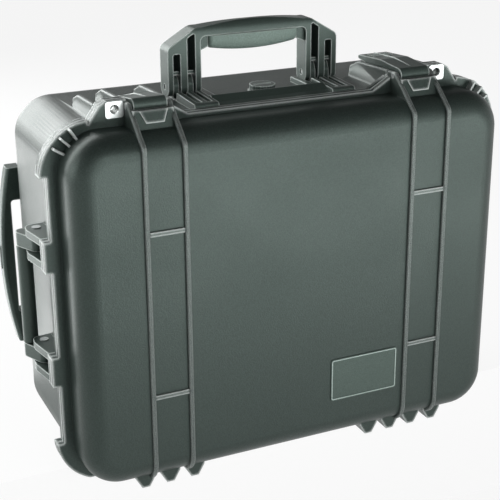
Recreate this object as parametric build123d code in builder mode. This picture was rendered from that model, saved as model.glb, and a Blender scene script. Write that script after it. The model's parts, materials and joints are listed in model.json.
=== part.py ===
"""Wheeled hard case for a laptop, standing on its hinge side with the lid towards -Y.

Every profile is drawn in case coordinates: x along the length from the middle of the case,
d behind the plane where lid and base meet, and z up from the mid height of the shells.
front(), side() and top() turn those into planes of the part's own frame, whose origin is
the bottom centre of the bounding box.
"""
import os
from math import cos, radians, sin

from build123d import *

# ---- driving dimensions, millimetres ---------------------------------------------------------
BODY_L = 522.0            # outer length of the shells
BODY_H = 403.0            # outer height of the shells
LID_D = 57.0              # depth of the lid
BASE_D = 186.0            # depth of the base
HALF_L, HALF_H = BODY_L / 2, BODY_H / 2
WALL = 4.2                # shell wall
CORNER_R = 45.0           # corners seen from the front
LID_EDGE_R = 26.0         # rounding of the lid's face edges
BACK_EDGE_R = 30.0        # rounding of the base's back edges
SEAM = 0.3                # gap between lid and base, halved by the seam plane
GASKET_EDGE, GASKET_W, GASKET_T = 0.9, 2.4, 3.5     # groove: from the outer face, width, depth
FLANGE_T = 8.0            # depth of each rim flange
FLANGE_OUT_X = 11.0       # how far the rim stands out at the ends
FLANGE_OUT_Z = 4.5        # and along the long sides
CORNER_OUT = 8.0          # extra overhang of the rim's corner guards
CORNER_UP = 5.0
GUARD_X = HALF_L - 36.0   # corner guards start here along the length
GUARD_Z = HALF_H - 45.5   # and here up the ends
FOOT_H = 12.5             # feet below the shells

LEVER_W = 37.6
LEVER_GAP = 0.85          # lever to the rib on each side
RIB_W = 5.5
RIB_X0 = 138.0            # inner strap rib from the middle
RIB_X = (RIB_X0, RIB_X0 + RIB_W + LEVER_W + 2 * LEVER_GAP)
RIB_H = 4.0               # height of the ribs on the lid's face
RIB_BEND_Z = HALF_H - 12.5          # where the ribs leave the face for the latch
FIN_TOP_Z = HALF_H + 25.0
CROSSBAR_Z = 95.0
CROSSBAR_W = 5.0

HINGE_X = 160.0
PIN_R = 2.5
KNUCKLE_R = PIN_R + 2.5
HINGE_Z = -HALF_H - KNUCKLE_R - 1.5     # hinge axis, on the seam plane
RUN = 0.05                # radial clearance of a running fit
CLEAR = 0.3               # clearance between parts that move past each other
FIT = 0.02                # radial clearance of a pin in the piece that holds it
FOAM_CLEAR = 0.5          # foam to shell

LATCH_D, LATCH_Z = -13.0, HALF_H + 21.0     # latch pivot, held in the lid's fins
BARREL_R = 8.0
LEVER_SKIN = 3.5
LEVER_REACH = 89.0        # pivot to thumb tip
RIGHT_LIFT = 12.0         # the right lever stands raised by this angle
CLAW_D, CLAW_Z = 30.0, HALF_H + 5.0         # claw pivot in the lever
CLAW_LIFT = 20.0          # the claws are stored lifted off their catches
CATCH = (3.0, 8.0, 20.0, 7.0)       # catch post: front, back, width, height
CLAW_TOE_D = CATCH[1] + 0.6         # front of the claw's bar when it holds

OUTER_FIN_X = RIB_X[1] + 26.2
OUTER_FIN_TOP = HALF_H + 20.0
FIN_BACK_D = LATCH_D + LEVER_REACH + 12.0
TAB_X, TAB_Z, TAB_HOLE_R = RIB_X[1] + 13.2, HALF_H + 18.5, 5.0
TAB_TOP = TAB_Z + 9.0
PLATE_T = 1.5             # stainless padlock plates

BRACKET_HALF = 99.0
BRACKET_FRONT, BRACKET_BACK = 8.6, 94.0
BRACKET_BAR_BACK = 35.0
NOTCH_HALF = 58.0
BRACKET_T = 3.5           # plate under everything
BAR_T, BAR_CREST = 5.5, 10.5        # the sloping bar: before its crest, and at the crest
STRIP_T = 6.5             # strips beside the legs
BLOCK_T = (8.0, 10.0)     # blocks before the legs: at the front and at the legs
BLOCK_X = 70.0            # inner side of each block
GRIP_PIVOT_D, GRIP_PIVOT_Z = 80.0, HALF_H + 14.0
LEG_IN, LEG_OUT = 66.0, BRACKET_HALF + 7.0      # carry handle legs
LEG_R = 11.0
HANDLE_T = 24.0
HANDLE_TOP = HALF_H + 83.0
SHOULDER_X, SHOULDER_Z = 72.0, HANDLE_TOP - 4.0
ELBOW_Z = HANDLE_TOP - 24.5
LUG_W = 7.4
SLOT_X = (LEG_IN + 11.6, LEG_OUT - 10.8)        # bracket lugs and the leg slots they sit in
SLOT_W = (LUG_W + 2.0, LUG_W + 1.0)
LUG_RISE = 6.0            # centre of the lug's round top above the pivot
LUG_TOP_R, LUG_R = 5.0, 7.5
HANDLE_PIN_R = 3.0

VALVE_R = 17.0            # pressure valve, behind the bracket's bar
VALVE_X, VALVE_D = 6.0, BRACKET_BAR_BACK + VALVE_R + 8.0
VALVE_STEM_R = 7.0

SIDE_PAD = 3.5            # pad under the mountings
SIDE_GRIP_R = 8.5
SIDE_PIVOT_X, SIDE_PIVOT_D = -HALF_L - SIDE_PAD - SIDE_GRIP_R, 46.0
SIDE_Z0, SIDE_Z1 = 49.5, 84.5       # the side handle's mountings, above and below mid height
SIDE_FORK = 8.5           # thickness of each mounting plate
SIDE_GRIP_X, SIDE_GRIP_D = SIDE_PIVOT_X - 9.5, 68.0
SIDE_PIN_R = 2.5
SIDE_REACH = SIDE_GRIP_R - SIDE_GRIP_X              # outermost point of the left end

HOUSING_T = 18.0          # pull handle housing on the back
REAR_REACH = BASE_D + HOUSING_T     # outermost point of the back, at the pull handle and wheels
RIGHT_REACH = HALF_L + FLANGE_OUT_X + CORNER_OUT
RAIL_Z = 88.0             # pull handle rails
RAIL_D = BASE_D + HOUSING_T / 2
OUTER_TUBE = (22.0, 12.0)
TUBE_WALL = 1.2
TUBE_PLAY = 0.2           # inner tube to outer tube, each side
INNER_TUBE = tuple(v - 2 * TUBE_WALL - 2 * TUBE_PLAY for v in OUTER_TUBE)
HOUSING_HALF = 114.0
PULL_HALF = 112.0         # half length of the pull handle's grip
PULL_END_X, PULL_BOW_X = -HALF_L - 7.0, -HALF_L - 20.0
BUTTON_TRAVEL = 3.0

WHEEL_R = 30.0
WHEEL_X, WHEEL_D = RIGHT_REACH - WHEEL_R, REAR_REACH - WHEEL_R
WHEEL_Z = HALF_H - 51.5
WHEEL_W = 22.0
WHEEL_GAP = 2.0           # wheel to the cheek on each side
CHEEK = 4.2
AXLE_R = 4.0
WELL_W = WHEEL_W + 2 * (WHEEL_GAP + CHEEK + CLEAR)
HOUSING_X0, HOUSING_X1 = -HALF_L + 11.0, WHEEL_X - WHEEL_R - 15.0

LAPTOP_L, LAPTOP_H, LAPTOP_D = 380.0, 270.0, 58.0   # pocket in the foam

# ---- frame: origin at the bottom centre of the bounding box ------------------------------------
CX = (SIDE_REACH - RIGHT_REACH) / 2
SEAM_Y = (LID_D + RIB_H - REAR_REACH) / 2
MID_Z = BODY_H / 2 + FOOT_H


def at(x, d, z):
    """A point given in case coordinates."""
    return (CX + x, SEAM_Y + d, MID_Z + z)


def front(d):
    """Plane facing the lid: sketch in (x, z); a negative extrusion goes back."""
    return Plane(origin=at(0, d, 0), x_dir=(1, 0, 0), z_dir=(0, -1, 0))


def side(x):
    """Plane across the length: sketch in (d, z); an extrusion goes to +X."""
    return Plane(origin=at(x, 0, 0), x_dir=(0, 1, 0), z_dir=(1, 0, 0))


def top(z):
    """Level plane: sketch in (x, d); an extrusion goes up."""
    return Plane(origin=at(0, 0, z))


def block(x0, x1, d0, d1, z0, z1, mode=Mode.ADD):
    """A box between two corners in case coordinates."""
    with Locations(at((x0 + x1) / 2, (d0 + d1) / 2, (z0 + z1) / 2)):
        Box(x1 - x0, d1 - d0, z1 - z0, mode=mode)


def bar_x(x0, x1, d, z, r, mode=Mode.ADD):
    """A cylinder along X."""
    with Locations(Location(at((x0 + x1) / 2, d, z), (0, 90, 0))):
        Cylinder(r, x1 - x0, mode=mode)


def bar_y(x, d0, d1, z, r, mode=Mode.ADD):
    """A cylinder along Y."""
    with Locations(Location(at(x, (d0 + d1) / 2, z), (90, 0, 0))):
        Cylinder(r, d1 - d0, mode=mode)


def bar_z(x, d, z0, z1, r, mode=Mode.ADD):
    """A cylinder along Z."""
    with Locations(at(x, d, (z0 + z1) / 2)):
        Cylinder(r, z1 - z0, mode=mode)


def slab(plane, points, depth, mode=Mode.ADD, radii=None):
    """A polygon drawn on a plane, its corners rounded by radii, and extruded by depth."""
    with BuildSketch(plane) as profile:
        with BuildLine():
            if radii is None:
                Polyline(*points, close=True)
            else:
                FilletPolyline(*points, radius=radii, close=True)
        make_face()
    extrude(profile.sketch, amount=depth, mode=mode)


def rounded(plane, length, height, radius, depth, mode=Mode.ADD):
    """A rounded rectangle about the plane's origin, extruded by depth."""
    with BuildSketch(plane) as profile:
        RectangleRounded(length, height, radius)
    extrude(profile.sketch, amount=depth, mode=mode)


def ring(plane, outer, inner, depth, mode=Mode.ADD):
    """A ring between two rounded rectangles, each (length, height, corner radius)."""
    with BuildSketch(plane) as profile:
        RectangleRounded(*outer)
        RectangleRounded(*inner, mode=Mode.SUBTRACT)
    extrude(profile.sketch, amount=depth, mode=mode)


def save(piece, name):
    """Label a finished piece and write it."""
    piece.part.label = name
    export_step(piece.part, f"parts/{name}.step")


os.makedirs("parts", exist_ok=True)
SIDES = (-1, 1)
RIM_X, RIM_Z = HALF_L + FLANGE_OUT_X, HALF_H + FLANGE_OUT_Z
LATCH_X = sum(RIB_X) / 2
INNER = (BODY_L - 2 * WALL, BODY_H - 2 * WALL, CORNER_R - WALL)
FOAM = (INNER[0] - 2 * FOAM_CLEAR, INNER[1] - 2 * FOAM_CLEAR, INNER[2] - FOAM_CLEAR)
LID_KNUCKLES, LID_KNUCKLE_W = (HINGE_X - 30, HINGE_X, HINGE_X + 30), 12.0
BASE_KNUCKLES, BASE_KNUCKLE_W = (HINGE_X - 15, HINGE_X + 15), 14.0
HINGE_CUT = 42.0                        # half length of the gap in the rim at each hinge
LID_FEET = [end * HINGE_X + step for end in SIDES for step in (-30, 0, 30)] + [HINGE_X - 60]
BASE_FEET = [end * HINGE_X + step for end in SIDES for step in (-30, 30)]


def rim(d_back):
    """The rim round one shell: a plain band with larger guards at its four corners."""
    with BuildSketch(front(d_back)) as outline:
        RectangleRounded(2 * (RIM_X + CORNER_OUT), 2 * (RIM_Z + CORNER_UP), CORNER_R + 14)
        Rectangle(2 * GUARD_X, 3 * BODY_H, mode=Mode.SUBTRACT)
        Rectangle(2 * BODY_L, 2 * GUARD_Z, mode=Mode.SUBTRACT)
        RectangleRounded(2 * RIM_X, 2 * RIM_Z, CORNER_R + 6)
    extrude(outline.sketch, amount=FLANGE_T - SEAM)
    d0 = d_back - FLANGE_T + SEAM
    for side_z in SIDES:
        z0, z1 = sorted((side_z * SIDE_Z0, side_z * SIDE_Z1))
        block(-RIM_X - CORNER_OUT, -HALF_L, d0, d_back, z0, z1)
    block(-BODY_L, BODY_L, d0 - 1, d_back + 1, -RIM_Z - 30, -RIM_Z, mode=Mode.SUBTRACT)
    for end in SIDES:
        x = end * HINGE_X
        block(x - HINGE_CUT, x + HINGE_CUT, d0 - 1, d_back + 1, -RIM_Z - 30, -HALF_H,
              mode=Mode.SUBTRACT)


def tabs(d_back):
    """Padlock tabs outside the latches and webs inside them, against the rim."""
    for end in SIDES:
        x0, x1 = RIB_X[1], RIB_X[0]
        slab(front(d_back), [(end * x0, HALF_H - 3), (end * x0, TAB_TOP), (end * (x0 + 21), TAB_TOP),
                             (end * (x0 + 29), TAB_TOP - 4), (end * (x0 + 42), RIM_Z),
                             (end * (x0 + 42), HALF_H - 3)][::end], FLANGE_T - SEAM)
        slab(front(d_back), [(end * x1, HALF_H - 3), (end * x1, TAB_TOP - 8),
                             (end * (x1 - 25), RIM_Z), (end * (x1 - 25), HALF_H - 3)][::end],
             FLANGE_T - SEAM)


def tab_holes():
    """Padlock holes through the tabs."""
    for end in SIDES:
        bar_y(end * TAB_X, -3 * FLANGE_T, 3 * FLANGE_T, TAB_Z, TAB_HOLE_R, mode=Mode.SUBTRACT)


def foot(x, d0, d1, width=24.0):
    """A tapered foot under a shell, from depth d0 to d1."""
    tip = width / 2 - 7.5
    slab(front(d1), [(x - width / 2, 11 - HALF_H), (x - width / 2, 0.5 - HALF_H),
                     (x - tip, -HALF_H - FOOT_H), (x + tip, -HALF_H - FOOT_H),
                     (x + width / 2, 0.5 - HALF_H), (x + width / 2, 11 - HALF_H)], d1 - d0)


def knuckles(places, width, way):
    """Hinge knuckles and their webs; way is -1 towards the lid and 1 towards the base."""
    for place in places:
        for end in SIDES:
            x = end * place
            bar_x(x - width / 2, x + width / 2, 0, HINGE_Z, KNUCKLE_R)
            d0, d1 = sorted((way * 1.0, way * 12.5))
            block(x - width / 2, x + width / 2, d0, d1, HINGE_Z - 1, 1 - HALF_H)


def hinge_bores():
    """The bore for both hinge pins."""
    for end in SIDES:
        x = end * HINGE_X
        bar_x(x - HINGE_CUT, x + HINGE_CUT, 0, HINGE_Z, PIN_R + RUN, mode=Mode.SUBTRACT)


# ---- profiles shared by several pieces ---------------------------------------------------------
with BuildPart() as strap_rib:          # one strap rib of the lid with its latch fin
    slab(side(-RIB_W / 2),
         [(-SEAM, HALF_H - 10), (-SEAM, FIN_TOP_Z), (LATCH_D - 4, FIN_TOP_Z),
          (-LID_D - RIB_H, RIB_BEND_Z), (-LID_D - RIB_H, -HALF_H - RIB_H),
          (LATCH_D, -HALF_H - RIB_H), (LATCH_D, -HALF_H + 10)],
         RIB_W, radii=[0, 3, 6, 9, LID_EDGE_R + RIB_H, 0, 0])
    crest = strap_rib.edges().filter_by(Axis.X, reverse=True).filter_by(
        lambda e: e.center().Y < SEAM_Y + LATCH_D - 0.5 or e.center().Z > MID_Z + FIN_TOP_Z - 6)
    fillet(crest, RIB_W * 0.36)

with BuildPart() as base_fin:           # one latch fin of the base
    slab(side(-RIB_W / 2),
         [(SEAM, HALF_H - 3), (SEAM, FIN_TOP_Z), (FIN_BACK_D - 20, FIN_TOP_Z - 3),
          (FIN_BACK_D, FIN_TOP_Z - 12), (FIN_BACK_D + 3, HALF_H - 3)],
         RIB_W, radii=[0, 3, 14, 5, 0])
    crown = base_fin.edges().filter_by(Axis.X, reverse=True)
    fillet(crown.filter_by(lambda e: e.center().Z > MID_Z + FIN_TOP_Z - 14
                           and e.center().Y > SEAM_Y + 1), RIB_W * 0.36)

with BuildPart() as outer_fin:          # the lower fin outboard of each latch
    slab(side(-RIB_W / 2),
         [(16, HALF_H - 3), (16, OUTER_FIN_TOP), (FIN_BACK_D - 18, OUTER_FIN_TOP - 2),
          (FIN_BACK_D, OUTER_FIN_TOP - 9), (FIN_BACK_D + 3, HALF_H - 3)],
         RIB_W, radii=[0, 3, 12, 5, 0])
    crown = outer_fin.edges().filter_by(Axis.X, reverse=True)
    fillet(crown.filter_by(lambda e: e.center().Z > MID_Z + OUTER_FIN_TOP - 12), RIB_W * 0.36)

# ---- lid ---------------------------------------------------------------------------------------
with BuildPart() as lid_cavity:
    rounded(front(1), *INNER, LID_D - WALL + 1)
    fillet(lid_cavity.faces().sort_by(Axis.Y)[0].edges(), LID_EDGE_R - WALL)

with BuildPart() as rest_block:         # slanted block before a latch barrel
    slab(side(RIB_X[0]), [(LATCH_D - 24, HALF_H - 6), (LATCH_D - 15, LATCH_Z - 2),
                          (LATCH_D - BARREL_R - 1, LATCH_Z - 2),
                          (LATCH_D - BARREL_R - 1, HALF_H - 6)], RIB_X[1] - RIB_X[0])

with BuildPart() as rest_panel:         # raised panel on the block's slope
    slab(side(RIB_X[0]), [(LATCH_D - 25.6, HALF_H - 6), (LATCH_D - 16.4, LATCH_Z - 2.5),
                          (LATCH_D - 12, LATCH_Z - 2.5), (LATCH_D - 12, HALF_H - 6)],
         RIB_X[1] - RIB_X[0])
    slab(front(LATCH_D), [(LATCH_X - 16, LATCH_Z - 2), (LATCH_X - 10, LATCH_Z - 15),
                          (LATCH_X + 10, LATCH_Z - 15), (LATCH_X + 16, LATCH_Z - 2)], 30,
         mode=Mode.INTERSECT)

GROOVE = (BODY_L - 2 * GASKET_EDGE, BODY_H - 2 * GASKET_EDGE, CORNER_R - GASKET_EDGE)
GROOVE_IN = tuple(v - k * GASKET_W for v, k in zip(GROOVE, (2, 2, 1)))
with BuildPart() as lid_shell:
    rounded(front(-SEAM), BODY_L, BODY_H, CORNER_R, LID_D - SEAM)
    fillet(lid_shell.faces().sort_by(Axis.Y)[0].edges(), LID_EDGE_R)
    rim(-SEAM)
    for rib_x in RIB_X:
        with Locations((rib_x, 0, 0), (-rib_x, 0, 0)):
            add(strap_rib.part)
    for end in SIDES:
        x0, x1 = sorted((end * RIB_X[0], end * RIB_X[1]))
        for bar_at in (-CROSSBAR_Z, CROSSBAR_Z):
            block(x0, x1, -LID_D - RIB_H + 1.4, 1 - LID_D, bar_at - CROSSBAR_W / 2,
                  bar_at + CROSSBAR_W / 2)
        for turn in (32, 45, 58):       # small webs between the rim and the body at the top corners
            arm = CORNER_R + 5.5
            web_x = end * (HALF_L - CORNER_R + arm * cos(radians(turn)))
            web_z = HALF_H - CORNER_R + arm * sin(radians(turn))
            with Locations(Location(at(web_x, -FLANGE_T - 4, web_z), (0, -end * turn, 0))):
                Box(14, 10, 2.5)
    tabs(-SEAM)
    with Locations((0, 0, 0), (-2 * LATCH_X, 0, 0)):
        add(rest_block.part)
        add(rest_panel.part)
    for foot_x in LID_FEET:
        foot(foot_x, 14.0 - LID_D, LATCH_D - 0.5)
    knuckles(LID_KNUCKLES, LID_KNUCKLE_W, -1)
    add(lid_cavity.part, mode=Mode.SUBTRACT)
    hinge_bores()
    ring(front(0), GROOVE, GROOVE_IN, SEAM + GASKET_T, mode=Mode.SUBTRACT)
    for end in SIDES:
        x0, x1 = sorted((end * (RIB_X[0] - 5), end * (RIB_X[1] + 5)))
        bar_x(x0, x1, LATCH_D, LATCH_Z, 2.0 + FIT, mode=Mode.SUBTRACT)
    tab_holes()
save(lid_shell, "lid_shell")

with BuildPart() as rim_gasket:
    slim = (2 * CLEAR, 2 * CLEAR, CLEAR)
    ring(front(-SEAM), tuple(v - s for v, s in zip(GROOVE, slim)),
         tuple(v + s for v, s in zip(GROOVE_IN, slim)), GASKET_T - CLEAR)
save(rim_gasket, "rim_gasket")

with BuildPart() as lid_foam:
    rounded(front(-6), *FOAM, LID_D - WALL - FOAM_CLEAR - 6)
    fillet(lid_foam.faces().sort_by(Axis.Y)[0].edges(), LID_EDGE_R - WALL)
save(lid_foam, "lid_foam")

LABEL_L, LABEL_H = 88.7, 53.5
LABEL = (RIB_X0 - 11 - LABEL_L, RIB_X0 - 11, 52 - HALF_H, 52 - HALF_H + LABEL_H)
with BuildPart() as label_plate:        # bare plate with a raised border
    with BuildSketch(front(-LID_D)) as plate:
        with Locations(((LABEL[0] + LABEL[1]) / 2, (LABEL[2] + LABEL[3]) / 2)):
            RectangleRounded(LABEL[1] - LABEL[0], LABEL[3] - LABEL[2], 3)
    extrude(plate.sketch, amount=1.2)
    with BuildSketch(front(-LID_D - 0.8)) as recess:
        with Locations(((LABEL[0] + LABEL[1]) / 2, (LABEL[2] + LABEL[3]) / 2)):
            RectangleRounded(LABEL[1] - LABEL[0] - 3, LABEL[3] - LABEL[2] - 3, 1.8)
    extrude(recess.sketch, amount=1, mode=Mode.SUBTRACT)
save(label_plate, "label_plate")

LATCH_PIN_R = 2.0
with BuildPart() as latch_pins:
    for end in SIDES:
        x0, x1 = sorted((end * (RIB_X[0] - RIB_W / 2), end * (RIB_X[1] + RIB_W / 2)))
        bar_x(x0, x1, LATCH_D, LATCH_Z, LATCH_PIN_R)
save(latch_pins, "latch_pins")


def padlock_plates(d_back):
    """A stainless plate with a hole on each padlock tab."""
    for end in SIDES:
        x0, x1 = sorted((end * (RIB_X[1] + RIB_W / 2 + 0.5), end * (TAB_X + 10)))
        with BuildSketch(front(d_back)) as plate_face:
            with Locations(((x0 + x1) / 2, TAB_Z - 0.5)):
                RectangleRounded(x1 - x0, 17.5, 3)
            with Locations((end * TAB_X, TAB_Z)):
                Circle(TAB_HOLE_R, mode=Mode.SUBTRACT)
        extrude(plate_face.sketch, amount=PLATE_T)


with BuildPart() as lid_padlock_plates:
    padlock_plates(-FLANGE_T)
save(lid_padlock_plates, "lid_padlock_plates")

with BuildPart() as base_padlock_plates:
    padlock_plates(FLANGE_T + PLATE_T)
save(base_padlock_plates, "base_padlock_plates")

# ---- base --------------------------------------------------------------------------------------
WELL = (WHEEL_X - WHEEL_R - 7, WHEEL_D - WHEEL_R - 7, WELL_W / 2)    # wheel well: x, d, half width


def wells(grow, mode):
    """The two wheel wells, grown by a wall on their inner sides."""
    for way in SIDES:
        block(WELL[0] - grow, BODY_L, WELL[1] - grow, BASE_D + 30, way * WHEEL_Z - WELL[2] - grow,
              way * WHEEL_Z + WELL[2] + grow, mode=mode)


with BuildPart() as base_cavity:
    rounded(front(BASE_D - WALL), *INNER, BASE_D - WALL + 1)
    fillet(base_cavity.faces().sort_by(Axis.Y)[-1].edges(), BACK_EDGE_R - WALL)
    wells(WALL, Mode.SUBTRACT)

SCREW_X = (BLOCK_X + BRACKET_HALF - 1) / 2          # between the grooves of a block
BRACKET_SCREWS = [(sx * x, d) for x, d in ((40, 20), (SCREW_X, 20), (SCREW_X, 52)) for sx in SIDES]
HOUSING_SCREWS = [(x, sz * (HOUSING_HALF - 7.5))
                  for x in (HOUSING_X0 + 15, (HOUSING_X0 + HOUSING_X1) / 2 + 2.5, HOUSING_X1 - 15)
                  for sz in SIDES]
with BuildPart() as base_shell:
    rounded(front(BASE_D), BODY_L, BODY_H, CORNER_R, BASE_D - SEAM)
    fillet(base_shell.faces().sort_by(Axis.Y)[-1].edges(), BACK_EDGE_R)
    rim(FLANGE_T)
    tabs(FLANGE_T)
    for fin_x in RIB_X:
        with Locations((fin_x, 0, 0), (-fin_x, 0, 0)):
            add(base_fin.part)
    with Locations((OUTER_FIN_X, 0, 0), (-OUTER_FIN_X, 0, 0)):
        add(outer_fin.part)
    for end in SIDES:
        block(end * LATCH_X - CATCH[2] / 2, end * LATCH_X + CATCH[2] / 2, CATCH[0], CATCH[1],
              HALF_H - 1, HALF_H + CATCH[3])
    for foot_x in BASE_FEET:
        foot(foot_x, 18.0, BASE_D - 16)
    knuckles(BASE_KNUCKLES, BASE_KNUCKLE_W, 1)
    add(base_cavity.part, mode=Mode.SUBTRACT)
    wells(0, Mode.SUBTRACT)
    hinge_bores()
    tab_holes()
    bar_z(VALVE_X, VALVE_D, HALF_H - 10, HALF_H + 1, VALVE_STEM_R + CLEAR, mode=Mode.SUBTRACT)
    for screw_x, screw_d in BRACKET_SCREWS:
        bar_z(screw_x, screw_d, HALF_H - 10, HALF_H + 1, 2.2, mode=Mode.SUBTRACT)
    for screw_x, screw_z in HOUSING_SCREWS:
        bar_y(screw_x, BASE_D - 3.2, BASE_D + 1, screw_z, 2.0 + FIT, mode=Mode.SUBTRACT)

# The base moulding as a rim, four walls and a back, cut flush.
WALL_X = OUTER_FIN_X - 5.0                          # the end walls begin outside the top's middle
BACK_D = BASE_D - BACK_EDGE_R - 2.0                 # the back begins before its rounding
FAR = BODY_L + BODY_H
for name, x0, x1, d0, d1, z0, z1 in (
        ("base_rim", -FAR, FAR, -FAR, FLANGE_T, -FAR, FAR),
        ("base_left_wall", -FAR, -WALL_X, FLANGE_T, BACK_D, -FAR, FAR),
        ("base_right_wall", WALL_X, FAR, FLANGE_T, BACK_D, -FAR, FAR),
        ("base_top_wall", -WALL_X, WALL_X, FLANGE_T, BACK_D, 0, FAR),
        ("base_bottom_wall", -WALL_X, WALL_X, FLANGE_T, BACK_D, -FAR, 0),
        ("base_back", -FAR, FAR, BACK_D, FAR, -FAR, FAR)):
    with BuildPart() as wall:
        add(base_shell.part)
        block(x0, x1, d0, d1, z0, z1, mode=Mode.INTERSECT)
    save(wall, name)

FOAM_SPLIT = BASE_D - 36.0
LAPTOP_X, LAPTOP_Z = LAPTOP_L / 2 + 22.3 - FOAM[0] / 2, 0.0
SPARE_L = 56.0                          # pocket for a charger beside the laptop
SPARE_X = LAPTOP_X + LAPTOP_L / 2 + 18.0 + SPARE_L / 2
with BuildPart() as base_foam_block:
    rounded(front(FOAM_SPLIT), *FOAM, FOAM_SPLIT - 2)
    wells(WALL + FOAM_CLEAR, Mode.SUBTRACT)
    bar_z(VALVE_X, VALVE_D, HALF_H - 15, HALF_H, VALVE_R + 2, mode=Mode.SUBTRACT)
    for screw_x, screw_d in BRACKET_SCREWS:
        bar_z(screw_x, screw_d, HALF_H - 9, HALF_H, 5.0, mode=Mode.SUBTRACT)
    block(LAPTOP_X - LAPTOP_L / 2, LAPTOP_X + LAPTOP_L / 2, 0, LAPTOP_D + 2,
          LAPTOP_Z - LAPTOP_H / 2, LAPTOP_Z + LAPTOP_H / 2, mode=Mode.SUBTRACT)
    block(SPARE_X - SPARE_L / 2, SPARE_X + SPARE_L / 2, 0, LAPTOP_D + 2,
          LAPTOP_Z - LAPTOP_H / 2, LAPTOP_Z + LAPTOP_H / 2, mode=Mode.SUBTRACT)
save(base_foam_block, "base_foam_block")

with BuildPart() as base_foam_pad:
    rounded(front(BASE_D - WALL - FOAM_CLEAR), *FOAM, BASE_D - WALL - FOAM_CLEAR - FOAM_SPLIT - CLEAR)
    fillet(base_foam_pad.faces().sort_by(Axis.Y)[-1].edges(), BACK_EDGE_R - WALL)
    wells(WALL + FOAM_CLEAR, Mode.SUBTRACT)
save(base_foam_pad, "base_foam_pad")

with BuildPart() as hinge_pins:
    for end in SIDES:
        bar_x(end * HINGE_X - 36, end * HINGE_X + 36, 0, HINGE_Z, PIN_R)
save(hinge_pins, "hinge_pins")

# ---- latches, drawn closed ---------------------------------------------------------------------
SKIRT = 2.5
LEVER_TIP_D = LATCH_D + LEVER_REACH
with BuildPart() as lever:              # right-hand latch lever, lying closed
    slab(side(LATCH_X - LEVER_W / 2),
         [(LATCH_D, LATCH_Z + BARREL_R), (28, LATCH_Z + 2), (LEVER_TIP_D, LATCH_Z - 12),
          (LEVER_TIP_D + 1, LATCH_Z - 16.5), (60, LATCH_Z - 15), (CLAW_D + 8, CLAW_Z - 3.8),
          (CLAW_D - 6, CLAW_Z - 3.8), (2, LATCH_Z - BARREL_R), (LATCH_D, LATCH_Z - BARREL_R)],
         LEVER_W, radii=[0, 20, 1.6, 1.6, 8, 5, 5, 6, 0])
    slab(side(LATCH_X - LEVER_W / 2 + SKIRT),
         [(LATCH_D + 11, LATCH_Z + BARREL_R - 5.2), (28, LATCH_Z + 2 - LEVER_SKIN),
          (LEVER_TIP_D - 8, LATCH_Z - 11 - LEVER_SKIN), (LEVER_TIP_D - 8, LATCH_Z - 40),
          (LATCH_D + 11, LATCH_Z - 40)], LEVER_W - 2 * SKIRT, mode=Mode.SUBTRACT)
    bar_x(LATCH_X - LEVER_W / 2, LATCH_X + LEVER_W / 2, LATCH_D, LATCH_Z, BARREL_R)
    bar_x(LATCH_X - 30, LATCH_X + 30, LATCH_D, LATCH_Z, LATCH_PIN_R + RUN, mode=Mode.SUBTRACT)
    bar_x(LATCH_X - 30, LATCH_X + 30, CLAW_D, CLAW_Z, LATCH_PIN_R + RUN, mode=Mode.SUBTRACT)
    slab(side(LATCH_X - 0.6),           # ridge along the lever's back
         [(LATCH_D + 6, LATCH_Z + BARREL_R - 3), (LATCH_D + 6, LATCH_Z + BARREL_R - 0.6),
          (28, LATCH_Z + 3.2), (LEVER_TIP_D - 4, LATCH_Z - 9.4), (LEVER_TIP_D - 4, LATCH_Z - 12.5),
          (28, LATCH_Z + 1)], 1.2)

with BuildPart() as claw:               # its claw, lying engaged behind the catch post
    ARM_W = 3.5
    arm_x = LEVER_W / 2 - SKIRT - CLEAR
    for end in SIDES:
        x0 = LATCH_X + (end * arm_x if end < 0 else arm_x - ARM_W)
        slab(side(x0), [(CLAW_TOE_D, CLAW_Z - 2), (CLAW_D, CLAW_Z - 3.6), (CLAW_D, CLAW_Z + 3.6),
                        (CLAW_TOE_D, CLAW_Z + 2)], ARM_W)
        bar_x(x0, x0 + ARM_W, CLAW_D, CLAW_Z, 3.6)
        x2, x3 = sorted((LATCH_X + end * (arm_x - 1), LATCH_X + end * (LEVER_W / 2 - 0.2)))
        bar_x(x2, x3, CLAW_D, CLAW_Z, LATCH_PIN_R)
    block(LATCH_X - arm_x, LATCH_X + arm_x, CLAW_TOE_D, CLAW_TOE_D + 4, CLAW_Z - 2, CLAW_Z + 2)

LEVER_AXIS = Axis(at(0, LATCH_D, LATCH_Z), (1, 0, 0))
CLAW_AXIS = Axis(at(0, CLAW_D, CLAW_Z), (1, 0, 0))
lifted_claw = claw.part.rotate(CLAW_AXIS, -CLAW_LIFT)
TO_LEFT = Location((-2 * LATCH_X, 0, 0))

with BuildPart() as left_latch_lever:
    add(lever.part.moved(TO_LEFT))
save(left_latch_lever, "left_latch_lever")

with BuildPart() as left_latch_claw:
    add(lifted_claw.moved(TO_LEFT))
save(left_latch_claw, "left_latch_claw")

with BuildPart() as right_latch_lever:
    add(lever.part.rotate(LEVER_AXIS, RIGHT_LIFT))
save(right_latch_lever, "right_latch_lever")

with BuildPart() as right_latch_claw:
    add(lifted_claw.rotate(LEVER_AXIS, RIGHT_LIFT))
save(right_latch_claw, "right_latch_claw")

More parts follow.
